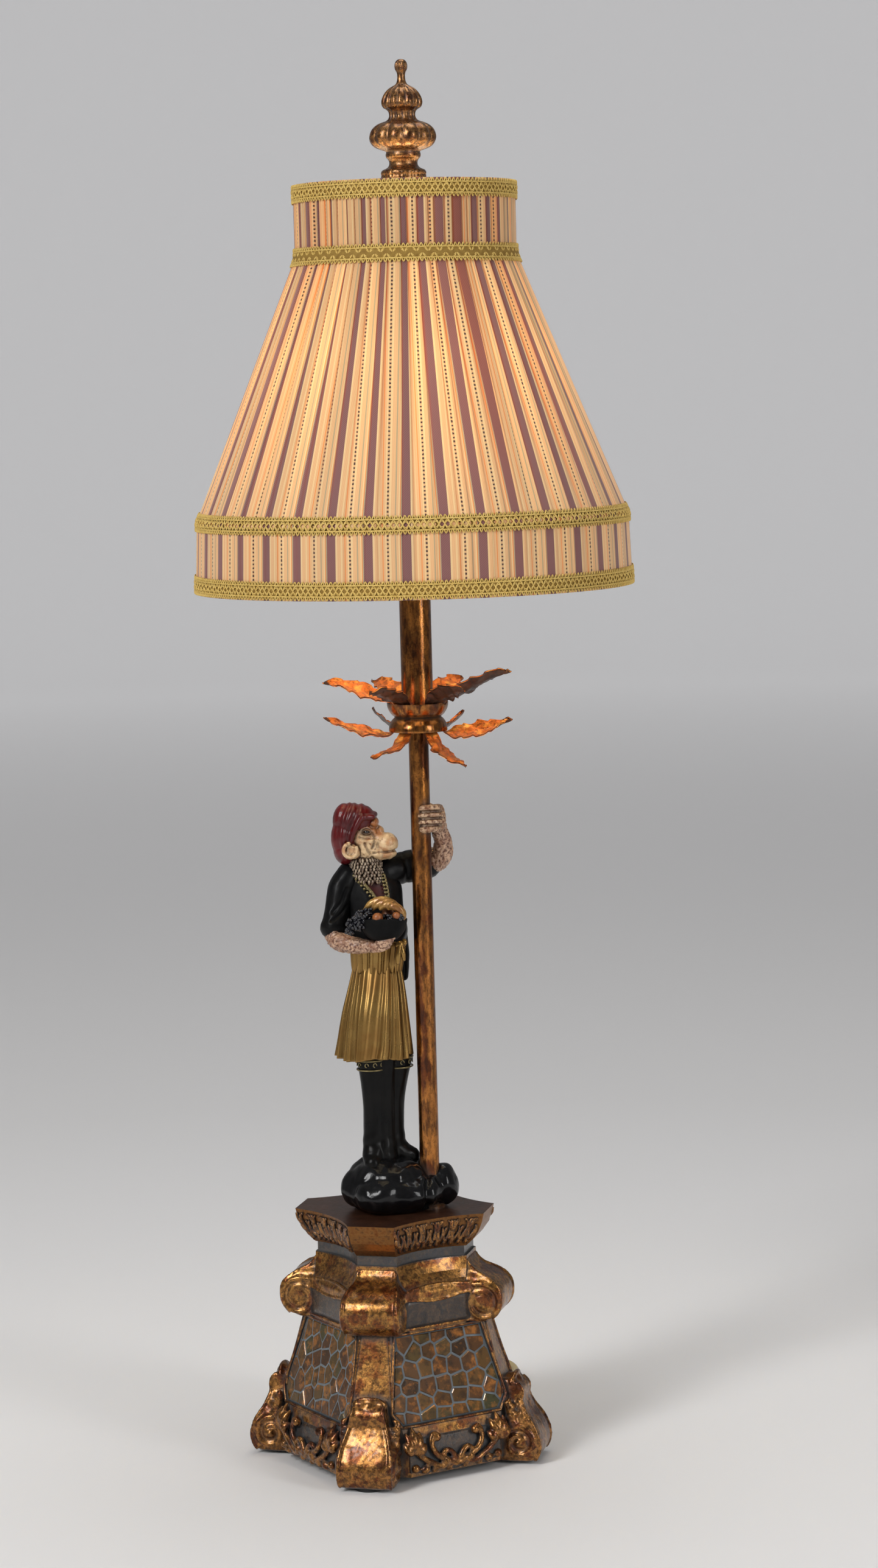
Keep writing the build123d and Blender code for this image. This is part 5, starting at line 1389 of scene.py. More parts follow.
def tile_form(step, cell, face, lift, slope):
    """A tile set in its grout, with a bevelled top where the smaller face kept every corner."""
    n = len(cell)
    middle = np.mean(face, axis=0)[0]
    verts = [side_point(step, bell_side(z) - TILE_ROOT, a, z) for a, z in cell]
    verts += [side_point(step, bell_side(z) - BEVEL + lift, a, z) for a, z in cell]
    faces = [(j, (j + 1) % n, n + (j + 1) % n, n + j) for j in range(n)]
    top = n
    if len(face) == n:
        verts += [side_point(step, bell_side(z) + lift + slope * (a - middle), a, z) for a, z in face]
        faces += [(n + j, n + (j + 1) % n, 2 * n + (j + 1) % n, 2 * n + j) for j in range(n)]
        top = 2 * n
    faces += [tuple(range(top, top + n)), tuple(reversed(range(n)))]
    return verts, faces


def add_mosaic():
    """Glass tiles on the four panels, each with a tone of its own."""
    rng = random.Random(11)
    tiles = Pile()
    tones = []
    for step in range(4):
        seeds = panel_seeds(step, rng)
        for cell in tile_cells(seeds, panel_outline(1.2), rng.uniform(0.55, 0.65), 1.25 if step % 2 == 0 else 1.0):
            face = inset(cell, 0.35)
            if len(face) < 3:
                continue
            form = tile_form(step, cell, face, rng.uniform(-0.35, -0.05), rng.uniform(-0.012, 0.012))
            tones += [rng.random()] * len(form[0])
            tiles.add(*form)
    piece = mesh_piece("mosaic_tiles", tiles.form(), tile_glass(), "base", "mosaic", smooth=False)
    tone = piece.data.attributes.new("tone", "FLOAT", "POINT")
    tone.data.foreach_set("value", np.array(tones, np.float32))


def grout_bed(step):
    levels = np.linspace(37.2, 91.3, 14)
    widths = np.interp(levels, *np.array(PANEL_LINE).T) - 0.2
    front, back = [
        np.array(
            [
                [side_point(step, bell_side(z) - depth, w * s, z) for s in np.linspace(-1, 1, 9)]
                for z, w in zip(levels, widths)
            ]
        )
        for depth in GROUT_DEPTHS
    ]
    return plate(front, back)


def add_grout():
    bed = Pile(grout_bed(step) for step in range(4))
    mesh_piece("mosaic_grout", bed.form(), grout_grey, "base", "mosaic", ["mosaic_panels"])


def tile_glass():
    """Amber and brown tiles, each of its own tone, under a gloss."""
    n = Nodes("tile_glass")
    tone = n.tree.nodes.new("ShaderNodeAttribute")
    tone.attribute_name = "tone"
    own = n.ramp(
        tone.outputs["Fac"],
        [
            (0.0, (0.055, 0.028, 0.012)), (0.3, (0.13, 0.055, 0.018)), (0.55, (0.10, 0.065, 0.018)),
            (0.8, (0.17, 0.08, 0.022)), (0.95, (0.07, 0.065, 0.025))
        ]
    )
    cloud = n.noise(7.0, 5.0, 0.65)
    fire = n.rises(cloud, 0.50, 0.66)
    color = n.cover(own, (0.55, 0.20, 0.035), fire, 0.75)
    smoke = n.falls(n.noise(4.0, 4.0), 0.35, 0.5)
    color = n.cover(color, (0.03, 0.018, 0.010), smoke, 0.6)
    n.set(color=color, rough=0.16, coat=0.6, coat_rough=0.08, metal=0.35)
    n.bump(cloud, 0.2, 0.3)
    return n.mat


grout_grey = painted("grout_grey", (0.115, 0.135, 0.150), (0.165, 0.190, 0.205), 0.75, size_mm=5.0, bump=0.3)


def add_mouldings():
    """Raised gilt edges round the panels and down the pilasters."""
    pile = Pile()
    for step in range(4):
        outline = panel_outline(-0.6)
        ring = []
        for a, b in zip(outline, outline[1:] + outline[:1]):
            for t in np.linspace(0, 1, 10)[:-1]:
                ring.append((a[0] + (b[0] - a[0]) * t, a[1] + (b[1] - a[1]) * t))
        path = np.array([side_point(step, bell_side(z) + 0.25, a, z) for a, z in ring + ring[:1]])
        pile.add(*tube(path, 0.95, 8))
        for hand in (1, -1):
            edge = []
            for z in np.linspace(46, 91.5, 16):
                half = math.sqrt(2) * bell_side(z) - bell_reach(z)
                edge.append(corner_point(step, bell_reach(z) + 0.1, hand * (half - 0.5), z))
            pile.add(*tube(edge, 0.8, 8))
    mesh_piece("gilt_mouldings", pile.form(), gilt_carved, "base", "gilt_casting")


FOOT_INNER = 66.0
FOOT_EYE = (82.5, 14.5)
SCROLL_INNER = 46.0
FOOT_LINE = [
    (2.0, 92.0, 17.0), (4.0, 94.3, 17.8), (9.0, 96.6, 18.0), (14.0, 97.0, 18.0), (20.0, 95.4, 18.0),
    (26.0, 92.5, 17.2), (31.0, 89.0, 15.8), (36.0, 86.4, 14.2), (41.0, 84.6, 12.6), (45.0, 85.2, 11.6),
    (48.5, 84.4, 11.0), (51.5, 81.8, 10.6), (54.0, 78.0, 9.6)
]


def oblong_loft(step, line, inner, power, cols, dish=0.0):
    """A corner's form: rounded oblongs that reach from inner outwards, through (height, reach, half width)."""
    rings = []
    for z, out, half in line:
        ring = []
        for k in range(cols):
            c, s = math.cos(2 * math.pi * k / cols), math.sin(2 * math.pi * k / cols)
            sx = math.copysign(abs(c) ** power, c)
            sy = math.copysign(abs(s) ** power, s)
            hollow = dish * (1 - min(abs(sy), 1.0) ** 2) if sx > 0.6 else 0.0
            ring.append(corner_point(step, (out + inner) / 2 + sx * (out - inner) / 2 - hollow, sy * half, z))
        rings.append(ring)
    return capped_rings(rings)


def volute(step, hand, centre, angles, radii, widths, thick, count):
    """A spiral on a corner's cheek. The radii are its first and last; the other pairs are a start and a change."""
    spiral = []
    for t in np.linspace(0, 1, count):
        turn = math.radians(angles[0] + angles[1] * t)
        radius = radii[0] * (1 - t) + radii[1] * t
        width = widths[0] + widths[1] * t
        spiral.append(
            corner_point(step, centre[0] + radius * math.cos(turn), hand * width, centre[1] + radius * math.sin(turn))
        )
    return tube(spiral, [thick[0] * (1 - thick[1] * t) for t in np.linspace(0, 1, count)], 10)


def leaf_radii(size, start, span, tip, count=10):
    """Radii along a leaf that swells and closes again."""
    return [size * math.sin(math.pi * (start + span * t)) + tip for t in np.linspace(0, 1, count)]


def foot_forms(step):
    line = smooth_path(FOOT_LINE, 44)
    forms = [oblong_loft(step, line, FOOT_INNER, 0.35, 40, 0.66)]
    # the lip where the pilaster dips into the foot
    lip = [
        corner_point(step, 76.5 + 1.5 * math.sin(t), 10.5 * math.cos(t), 51.0 + 5.5 * math.sin(t))
        for t in np.linspace(0, math.pi, 15)
    ]
    forms.append(tube(lip, 1.5, 10))
    forms.append(ellipsoid(corner_point(step, 75.5, 0, 51.5), (6.5, 6.5, 4.6)))
    for hand in (1, -1):
        # volute on each cheek, with its eye
        forms.append(volute(step, hand, FOOT_EYE, (150, -560), (11.5, 3.0), (17.6, 1.2), (1.9, 0.45), 46))
        forms.append(ellipsoid(corner_point(step, FOOT_EYE[0], hand * 18.4, FOOT_EYE[1]), (3.0, 3.0, 3.0)))
        # rim up the cheek's front edge
        rim = [corner_point(step, out - 1.1, hand * (half - 1.1), z) for z, out, half in line[2:-3]]
        forms.append(tube(rim, 1.25, 8))
        # acanthus leaf on the cheek
        for lobe, (lean, size) in enumerate(((12, 7.0), (30, 8.2), (50, 7.8), (72, 6.6))):
            c, s = math.cos(math.radians(lean)), math.sin(math.radians(lean))
            root = (74.5, 27.0)
            path = [
                corner_point(
                    step, root[0] + t * size * c * 1.15, hand * (15.8 + 2.3 * math.sin(math.pi * t) - 1.2 * t),
                    root[1] + 3.5 * lobe + t * size * s * 0.9
                )
                for t in np.linspace(0, 1, 10)
            ]
            forms.append(tube(path, leaf_radii(2.3, 0.15, 0.8, 0.3), 8))
    return forms


def casting_noise(depth_fine, depth_broad):
    """Uneven metal, as a shape for sculpt()."""
    return lambda points, _: depth_broad * ripple(points, 9.0, 3.1) + depth_fine * ripple(points, 2.2, 9.7)


def add_feet():
    sculpt(
        "scroll_feet_cast", four_times(foot_forms), 0.95, gilt_carved, casting_noise(0.10, 0.25), 2,
        slot="gilt_casting", replaces=["scroll_feet"]
    )


SCROLL_FACE = [
    (133.0, 50.2, 13.0), (130.5, 51.2, 13.0), (127.5, 53.2, 13.2), (125.0, 56.6, 13.8), (123.2, 60.6, 15.2),
    (121.0, 65.0, 17.0), (117.5, 69.6, 18.0), (113.5, 72.6, 18.2), (108.0, 73.6, 18.2), (102.5, 72.9, 18.2),
    (97.8, 70.2, 18.0), (94.6, 66.6, 17.6), (92.6, 62.0, 17.0)
]


def scroll_forms(step):
    """A corner's roll, with a volute on each cheek."""
    line = smooth_path(SCROLL_FACE, 40)[::-1]
    forms = [oblong_loft(step, line, SCROLL_INNER, 0.3, 36)]
    for hand in (1, -1):
        forms.append(volute(step, hand, (60.6, 105.6), (118, -620), (12.6, 4.4), (18.2, 0.4), (1.55, 0.3), 52))
        eye = [corner_point(step, 61.0, hand * w, 105.0) for w in (14.0, 17.2, 19.0)]
        forms.append(tube(eye, [6.2, 6.2, 5.2], 20))
        edge = [corner_point(step, out - 0.6, hand * (half - 0.7), z) for z, out, half in line[4:-2]]
        forms.append(tube(edge, 1.15, 8))
    return forms


RIBBON_SPAN = 70.0
RIBBON_TOP = 116.2
RIBBON_RISE = 4.6
RIBBON_NARROW = 3.6
RIBBON_WIDEN = 6.4
CROWN = 118.0  # top of the volutes


def ribbon_edges(along):
    """The heights of the ribbon's upper and lower edge."""
    arch = math.cos(math.pi * along / RIBBON_SPAN)
    upper = RIBBON_TOP + RIBBON_RISE * arch
    return upper, upper - RIBBON_NARROW - RIBBON_WIDEN * arch * arch


def lean_in(z):
    """How far the ribbon draws in above the volutes' crown."""
    return max(0.0, z - CROWN) * 0.8


def ribbon_forms(step):
    """The gilt ribbon that sweeps over a side from one volute to the next."""
    rings = []
    for a in np.linspace(-32.5, 32.5, 44):
        upper, lower = ribbon_edges(a)
        ring = []
        for k in range(20):
            turn = 2 * math.pi * k / 20
            z = (upper + lower) / 2 + (upper - lower) / 2 * math.sin(turn)
            ring.append(side_point(step, 48.9 - lean_in(z) + 2.0 * math.cos(turn), a, z))
        rings.append(ring)
    forms = [capped_rings(rings)]
    for which, radius in ((0, 1.3), (1, 0.9)):
        edge = [(a, ribbon_edges(a)[which]) for a in np.linspace(-32, 32, 40)]
        forms.append(tube([side_point(step, 50.6 - lean_in(z), a, z) for a, z in edge], radius, 8))
    sill = [side_point(step, 49.9, a, 94.6) for a in np.linspace(-27, 27, 22)]
    forms.append(tube(sill, 1.2, 8))
    return forms


def slab(step, low, high, half, out, thick, rows=6, cols=12):
    """A thin plate on a side between two heights."""
    front, back = [
        np.array(
            [
                [side_point(step, reach, a, z) for a in np.linspace(-half, half, cols)]
                for z in np.linspace(low, high, rows)
            ]
        )
        for reach in (out, out - thick)
    ]
    return plate(front, back)


def add_recesses():
    """Grey patina in the field under each arch."""
    fields = Pile(slab(step, 95.4, 113.5, 24.5, 50.25, 1.2) for step in range(4))
    mesh_piece("arch_fields", fields.form(), patina_grey, "base", "gilt_casting")


patina_grey = gilt(
    "patina_grey", (0.070, 0.042, 0.024), (0.045, 0.028, 0.018), (0.024, 0.028, 0.032), (0.032, 0.038, 0.044),
    metal=0.3, patch_mm=9.0
)


def add_scrolls():
    forms = four_times(lambda step: scroll_forms(step) + ribbon_forms(step))
    sculpt(
        "corner_scrolls_cast", forms, 0.9, gilt_cast, casting_noise(0.08, 0.22), 2, slot="gilt_casting",
        replaces=["corner_scrolls"]
    )


def curl(start, heading, size, turns, hand):
    """A plane curve that winds up into a curl: points as (along, height)."""
    points = [start]
    x, z = start
    angle = math.radians(heading)
    for k in range(30):
        t = k / 29
        step = size * (1 - 0.72 * t) / 9.0
        angle += hand * turns * 2 * math.pi / 30 * (0.35 + 1.3 * t)
        x += step * math.cos(angle)
        z += step * math.sin(angle)
        points.append((x, z))
    return points


APRON_FOOT = 6.4
APRON_STRETCH = 1.55


def apron_forms(step):
    """C-scrolls, garland and leaves in relief under a panel."""
    forms = []

    def raised(z):
        return APRON_FOOT + max(z - APRON_FOOT, 0.0) * APRON_STRETCH

    def lay(points, radius, lift, taper=0.5):
        placed = [side_point(step, bell_side(raised(z)) + lift + 1.2, a, raised(z)) for a, z in points]
        count = len(placed)
        radii = [1.4 * radius * (1 - taper * k / (count - 1)) for k in range(count)]
        forms.append(tube(placed, radii, 8))
        return placed[-1]

    for hand in (1, -1):
        c_scroll = [(hand * a, z) for a, z in curl((1.6, 10.5), 60, 7.4, 0.78, -1)]
        forms.append(ellipsoid(lay(c_scroll, 1.5, 1.9, 0.35), (2.9, 2.9, 2.9)))
        outer = [(hand * a, z) for a, z in curl((11.0, 12.0), 10, 8.6, 0.72, 1)]
        forms.append(ellipsoid(lay(outer, 1.6, 1.9, 0.4), (3.0, 3.0, 3.0)))
        garland = [
            (hand * a, z) for a, z in ((0.0, 8.5), (6.0, 10.0), (12.0, 8.4), (19.0, 10.5), (26.0, 13.5), (33.0, 18.0))
        ]
        lay(smooth_path(garland, 26), 1.7, 1.6, 0.2)
        for a, z, size in ((16.5, 8.0, 2.6), (23.5, 9.0, 3.2), (6.0, 7.6, 2.4), (30.5, 10.5, 3.0)):
            forms.append(ellipsoid(side_point(step, bell_side(z) + 1.2, hand * a, z), (size, size, size * 0.95)))
        # acanthus towards the foot
        for k, lean in enumerate((152, 118, 92, 66, 40)):
            c, s = math.cos(math.radians(lean)), math.sin(math.radians(lean))
            size = (8.0, 10.0, 11.0, 10.0, 8.0)[k]
            path = [(hand * (30.0 + 0.8 * k + size * t * c), 15.0 + size * t * s) for t in np.linspace(0, 1, 10)]
            placed = [
                side_point(step, bell_side(raised(z)) + 1.8 + 2.6 * math.sin(math.pi * t), a, raised(z))
                for (a, z), t in zip(path, np.linspace(0, 1, 10))
            ]
            forms.append(tube(placed, leaf_radii(2.9, 0.12, 0.83, 0.25), 8))
    return forms


def apron_ground(step):
    """The apron's backing plate with its scalloped foot."""
    cols = np.linspace(-34, 34, 60)
    rows = []
    for z_share in np.linspace(0, 1, 12):
        row = []
        for a in cols:
            low = 5.6 + 2.4 * abs(math.sin(math.pi * a / 22.0))
            z = low + (29.0 - low) * z_share
            row.append(side_point(step, bell_side(z) + 0.9 - 0.6 * z_share, a, z))
        rows.append(row)
    front = np.array(rows)
    back = front + (side_point(step, -3.0, 0, 0) - side_point(step, 0, 0, 0))
    return plate(front, back)


def add_apron():
    sculpt(
        "apron_relief", four_times(apron_forms), 0.8, gilt_carved, casting_noise(0.10, 0.12), 2, slot="gilt_casting",
        replaces=["apron_carvings"]
    )
    ground = Pile(apron_ground(step) for step in range(4))
    mesh_piece("apron_ground", ground.form(), patina_grey, "base", "gilt_casting")


MOTIFS = 11
MOTIF_PITCH = 6.0
FRIEZE_HALF = (25.0, 32.5)  # half its length at the platform's foot and top


def add_platform_carving():
    """A frieze of small acanthus scrolls round the platform's long sides."""
    rng = random.Random(3)
    forms = Pile()
    for step in range(4):
        for k in range(MOTIFS):
            middle = MOTIF_PITCH * (k - MOTIFS // 2)
            hand = 1 if k % 2 else -1
            motifs = [
                [(0.0, 144.0), (hand * 1.0, 149.0), (hand * 2.4, 154.0), (hand * 1.0, 159.0), (-hand * 1.2, 160.2)],
                [(hand * 1.0, 149.0), (hand * 3.4, 149.8), (hand * 4.2, 152.6), (hand * 3.0, 154.2)],
                [(hand * 0.6, 147.0), (-hand * 1.8, 149.0), (-hand * 2.6, 153.0), (-hand * 1.4, 156.0)],
                [(hand * 2.4, 154.5), (hand * 4.0, 157.0), (hand * 3.6, 160.4)],
            ]
            for motif in motifs:
                width = rng.uniform(1.2, 2.0)
                line = smooth_path([(middle + a + rng.uniform(-0.4, 0.4), z) for a, z in motif], 12)
                placed = []
                for a, z in line:
                    a = a * float(np.interp(z, [PLATFORM[0][0], PLATFORM[-1][0]], FRIEZE_HALF)) / FRIEZE_HALF[1]
                    placed.append(side_point(step, platform_side(z, a) + 0.5, a, z))
                forms.add(*tube(placed, [width * (1 - 0.5 * t) for t in np.linspace(0, 1, 12)], 6))
    mesh_piece("platform_carving", forms.form(), gilt_carved, "base", "platform_brown")


def platform_paint_by_face():
    """Dark satin brown on top, worn gilt on the faces below the edge, with painted shade in its hollows."""
    n = Nodes("platform_two_tone")
    geometry = n.new("ShaderNodeNewGeometry")
    top = n.rises(n.parts(geometry.outputs["Normal"])[2], 0.70, 0.85)
    broad = n.noise(18.0, 4.0)
    fine = n.noise(3.0, 4.0)
    brown = n.ramp(broad, [(0.35, (0.036, 0.013, 0.007)), (0.65, (0.078, 0.031, 0.016))])
    worn = n.ramp(fine, [(0.32, (0.10, 0.045, 0.018)), (0.5, (0.23, 0.100, 0.027)), (0.7, (0.15, 0.050, 0.014))])
    # painted shade: darker where ambient occlusion finds hollows
    low = n.falls(n.crevices(3.0), 0.55, 0.97)
    worn = n.cover(worn, (0.022, 0.016, 0.013), low, 0.9)
    n.set(color=n.mix(top, worn, brown))
    n.set(metal=n.math("SUBTRACT", 0.8, n.math("MULTIPLY", top, 0.45)))
    n.set(rough=n.math("ADD", 0.28, n.math("MULTIPLY", fine, 0.14)))
    n.bump(n.math("ADD", broad, fine), 0.25, 0.4)
    return n.mat


add_mosaic()
add_grout()
add_mouldings()
add_feet()
add_scrolls()
add_recesses()
add_apron()
add_platform_carving()
dress_node("platform_cap", platform_paint_by_face())


# ---------------------------------------------------------------- figure
# Places on the figure are (right, back, up) as seen from the lamp's front; it looks to the right, past the pole.


def groove(seen_points, path, width, depth):
    """How far a chiselled line through (right, up) points lowers the surface."""
    line = smooth_path(path, 24)
    flat = seen_points[:, [0, 2]]
    nearest = np.full(len(flat), 1e9)
    for a, b in zip(line[:-1], line[1:]):
        ab = b - a
        t = np.clip(((flat - a) @ ab) / max(ab @ ab, 1e-9), 0, 1)
        nearest = np.minimum(nearest, np.linalg.norm(flat - (a + t[:, None] * ab), axis=1))
    return -depth * np.exp(-((nearest / width) ** 2))


def dent(seen_points, centre, radii, depth):
    d = ((seen_points[:, 0] - centre[0]) / radii[0]) ** 2 + ((seen_points[:, 2] - centre[1]) / radii[1]) ** 2
    return -depth * np.exp(-d)


def elliptic_rings(sections, cols, steps, wave):
    """Rings through (right, back, up, half width, half depth); wave(angle, share) adds to radius and height."""
    turns = 2 * np.pi * np.arange(cols) / cols
    rings = []
    for k, (u, v, z, ru, rv) in enumerate(smooth_path(sections, steps)):
        out, rise = wave(turns, k / (steps - 1))
        x = u + (ru + out) * np.cos(turns)
        y = v + (rv + out) * np.sin(turns)
        rings.append(np.array([seen(*point) for point in zip(x, y, z + rise + 0 * turns)]))
    return rings


def keep_between(piece, low, high):
    """Presses what lies past two heights flat."""
    points = vertex_rows(piece) / MM
    points[:, 2] = np.clip(points[:, 2], low, high)
    place_vertices(piece, points)


PLATFORM_TOP = 163.0
ROCK_CLEFT = [(-2.5, 195), (-1.0, 185), (-1.5, 163)]
BOOT_TOP = 263.0


def add_rock():
    forms = [
        blob(-23, 1, 175, 34, 31, 16.5),
        blob(-27, -1, 183, 26, 24, 15),
        blob(-15, 5, 182, 19, 17, 13),
        blob(8, 4, 177.5, 9.4, 13, 14.5),
        blob(-45, -3, 177, 12.0, 15, 13),
        blob(-30, -17, 175, 18, 14, 13),
    ]

    def shape(points, p):
        lumps = 1.9 * ripple(points, 13.0, 2.2) + 0.6 * ripple(points, 6.0, 7.1)
        lumps += groove(p, ROCK_CLEFT, 2.2, 2.6)
        return np.where(p[:, 2] < PLATFORM_TOP + 1.2, 0, lumps)

    piece = sculpt("rock_cast", forms, 0.9, rock_paint, shape, 6, slot="rock_black", replaces=["rock_mound"])
    keep_between(piece, PLATFORM_TOP, math.inf)


def add_boots():
    forms = [
        limb(
            [
                (-36, -4, 262, 9.0), (-35.6, -3.6, 250, 7.8), (-35, -3, 231, 6.9), (-35, -3, 210, 7.0),
                (-35.4, -4.5, 201, 7.6), (-35.8, -8, 196.5, 7.0), (-36.0, -11.5, 194.5, 5.8)
            ],
            20, 34
        ),
        limb(
            [
                (-18.6, 5, 262, 9.8), (-20.4, 5, 250, 8.6), (-23.2, 5.0, 231, 8.0), (-23.6, 5, 210, 8.2),
                (-22.4, 5, 203, 8.6), (-17, 5, 198, 7.4), (-11.5, 5, 196, 5.4)
            ],
            20, 34
        ),
        limb(
            [(-27.5, -1, 262, 8.6), (-28.5, -1, 240, 7.6), (-29.0, -0.5, 215, 7.4), (-28.6, -1.5, 198, 8.6)], 16, 20
        ),
    ]

    def shape(points, p):
        wrinkles = 0.35 * np.sin((p[:, 2] - 0.5 * p[:, 0]) / 1.9) * np.exp(-(((p[:, 2] - 206) / 7) ** 2))
        creases = 0.45 * ripple(p * [1, 1, 0.18], 4.2, 1.4)
        return wrinkles + creases

    piece = sculpt("boots_cast", forms, 0.75, boot_paint, shape, 3, slot="boot_black", replaces=["boots"])
    keep_between(piece, -math.inf, BOOT_TOP)


def add_boot_cuffs():
    """Two rings and a row of small curls round the top of each boot."""
    trim = Pile()
    for u, v, r in ((-36, -4, 8.5), (-18.9, 5, 9.4)):
        for z, thick in ((261.0, 0.8), (254.8, 0.55)):
            ring = [
                seen(u + (r + 0.25) * math.cos(t), v + (r + 0.25) * math.sin(t), z)
                for t in np.linspace(0, 2 * math.pi, 40)
            ]
            trim.add(*tube(ring, thick, 6))
        for k in range(10):
            t0 = 2 * math.pi * k / 10
            curl_path = []
            for s in np.linspace(0, 1, 12):
                turn = 5.2 * s
                a = t0 + (0.17 * (1 - 0.75 * s)) * math.cos(turn)
                z = 257.9 + 2.2 * (1 - 0.75 * s) * math.sin(turn)
                curl_path.append(seen(u + (r + 0.2) * math.cos(a), v + (r + 0.2) * math.sin(a), z))
            trim.add(*tube(curl_path, 0.42, 5))
    mesh_piece("boot_cuffs", trim.form(), embroidery, "base", "boot_black")


def add_skirt():
    """Knife-deep pleats that widen to a wavy hem."""
    rng = random.Random(8)
    bends = [(rng.uniform(0, 6.28), rng.uniform(0.6, 1.0))[0] for _ in range(6)]

    def wave(turns, share):
        # share runs from the hem up, and bends are phases drawn once
        depth = 2.1 * (1 - share) ** 0.8 + 0.55
        a = turns + 0.10 * np.sin(3 * turns + bends[0]) + 0.25 * share * np.sin(turns * 2 + bends[1])
        fold = np.sin(13 * a + bends[2]) + 0.55 * np.sin(22 * a + bends[3] + 1.5 * share)
        fold += 0.3 * np.sin(37 * a + bends[4])
        fold = np.sign(fold) * np.abs(fold) ** 0.75
        drop = (1 - share) ** 6 * (0.9 * np.sin(4 * turns + 1.0) - 0.6)
        return depth * 0.55 * fold, drop

    sections = [
        (-34, 2, 262.6, 23.4, 19.4), (-33.4, 2, 272, 22.4, 18.6), (-32.5, 2, 290, 20.2, 17.2),
        (-31.2, 2.5, 306, 17.6, 14.6), (-30.5, 3, 319, 15.2, 12.3), (-30.3, 3, 322, 14.8, 12.0)
    ]
    outer = elliptic_rings(sections, 360, 60, wave)
    inner = [np.mean(r, axis=0) + (r - np.mean(r, axis=0)) * 0.93 for r in outer[:8]][::-1]
    mesh_piece("skirt_cast", capped_rings(inner + outer), skirt_paint, "base", "skirt_gold", ["skirt"])


def add_sash():
    """The skirt's gathered waistband, tied in a small knot in front."""

    def gathers(turns, share):
        fold = np.sin(21 * turns + 1.3) + 0.55 * np.sin(34 * turns + 0.4) + 0.3 * np.sin(13 * turns)
        return 0.7 * np.sign(fold) * np.abs(fold) ** 0.8, 0.0

    sections = [
        (-30.4, 3, 317.0, 15.2, 12.3), (-30.2, 3, 322, 15.9, 13.0), (-29.8, 3.2, 329, 16.6, 13.6),
        (-29.6, 3.4, 334, 17.4, 14.2), (-29.6, 3.6, 337.0, 17.0, 13.8)
    ]
    pile = Pile()
    pile.add(*capped_rings(elliptic_rings(sections, 300, 24, gathers)))
    pile.add(*blob(-15.4, -9.6, 335.4, 3.0, 2.4, 2.6, 20))
    pile.add(*blob(-12.6, -8.2, 336.6, 2.0, 1.8, 2.4, -20))
    pile.add(*limb([(-15.6, -10.6, 334.6, 1.6), (-16.4, -11.0, 329, 1.9), (-16.8, -11.2, 324, 1.3)], 10, 10))
    pile.add(*limb([(-14.4, -10.0, 334.6, 1.5), (-13.4, -10.4, 330, 1.7), (-12.9, -10.4, 326, 1.2)], 10, 10))
    mesh_piece("sash_cast", pile.form(), skirt_paint, "base", "sash_gold", ["waist_sash"])


JACKET = [
    (-30, 4, 333.5, 16.4, 12.6), (-30, 4, 337, 18.2, 13.6), (-29.5, 4, 344, 19.2, 14.4), (-31, 5, 358, 18.4, 14.4),
    (-34, 6, 372, 20.2, 12.6), (-35, 5.4, 379, 15.5, 10.6), (-35.5, 5, 384, 9.5, 8.0)
]


def jacket_front(u, z, lift=0.0):
    """The jacket's front surface at a place in the picture plane."""
    uc, vc, _, ru, rv = [float(np.interp(z, [s[2] for s in JACKET], [s[i] for s in JACKET])) for i in range(5)]
    share = min(abs(u - uc) / (ru + lift), 0.999)
    return vc - (rv + lift) * math.sqrt(1 - share * share)


VEST_EDGE_LEFT = [(-45.0, 386.5), (-40.8, 380.5), (-35.8, 374.1), (-30.3, 367.2), (-27.0, 359.0)]
VEST_EDGE_RIGHT = [(-25.2, 386.1), (-23.0, 378.2), (-21.2, 369.0), (-20.6, 359.0)]
VEST_FOOT = 359.0


def vest_edges(z):
    """Where the jacket's two front edges lie at a height."""
    return [np.interp(z, *np.array(edge)[::-1, ::-1].T) for edge in (VEST_EDGE_LEFT, VEST_EDGE_RIGHT)]


def add_jacket():
    def folds(turns, share):
        drape = 0.5 * np.sin(5 * turns + 3 * share) + 0.35 * np.sin(9 * turns - 4 * share)
        return drape * (0.4 + 0.6 * (1 - share)), 0.0

    forms = [capped_rings(elliptic_rings(JACKET, 72, 30, folds))]
    # the tail that hangs behind the skirt beside the pole
    forms.append(
        limb([(-17.0, 8, 345, 5.6), (-15.2, 9.5, 334, 5.4), (-14.0, 10.5, 324, 4.6), (-13.6, 10.5, 312, 3.2)], 16, 20)
    )

    def shape(points, p):
        front = p[:, 1] < 2
        left, right = vest_edges(p[:, 2])
        inside = front & (p[:, 0] > left) & (p[:, 0] < right) & (p[:, 2] > VEST_FOOT)
        return np.where(inside, -1.3, 0.0) + 0.25 * ripple(points, 7.0, 4.4)

    piece = sculpt("jacket_cast", forms, 0.75, jacket_paint, shape, 2, slot="jacket_black", replaces=["jacket"])
    piece.data.materials.append(vest_paint)
    for poly in piece.data.polygons:
        p = as_seen((np.array(poly.center) / MM)[None])[0]
        left, right = vest_edges(p[2])
        if p[1] < 2 and p[2] > VEST_FOOT + 0.3 and left < p[0] < right:
            poly.material_index = 1


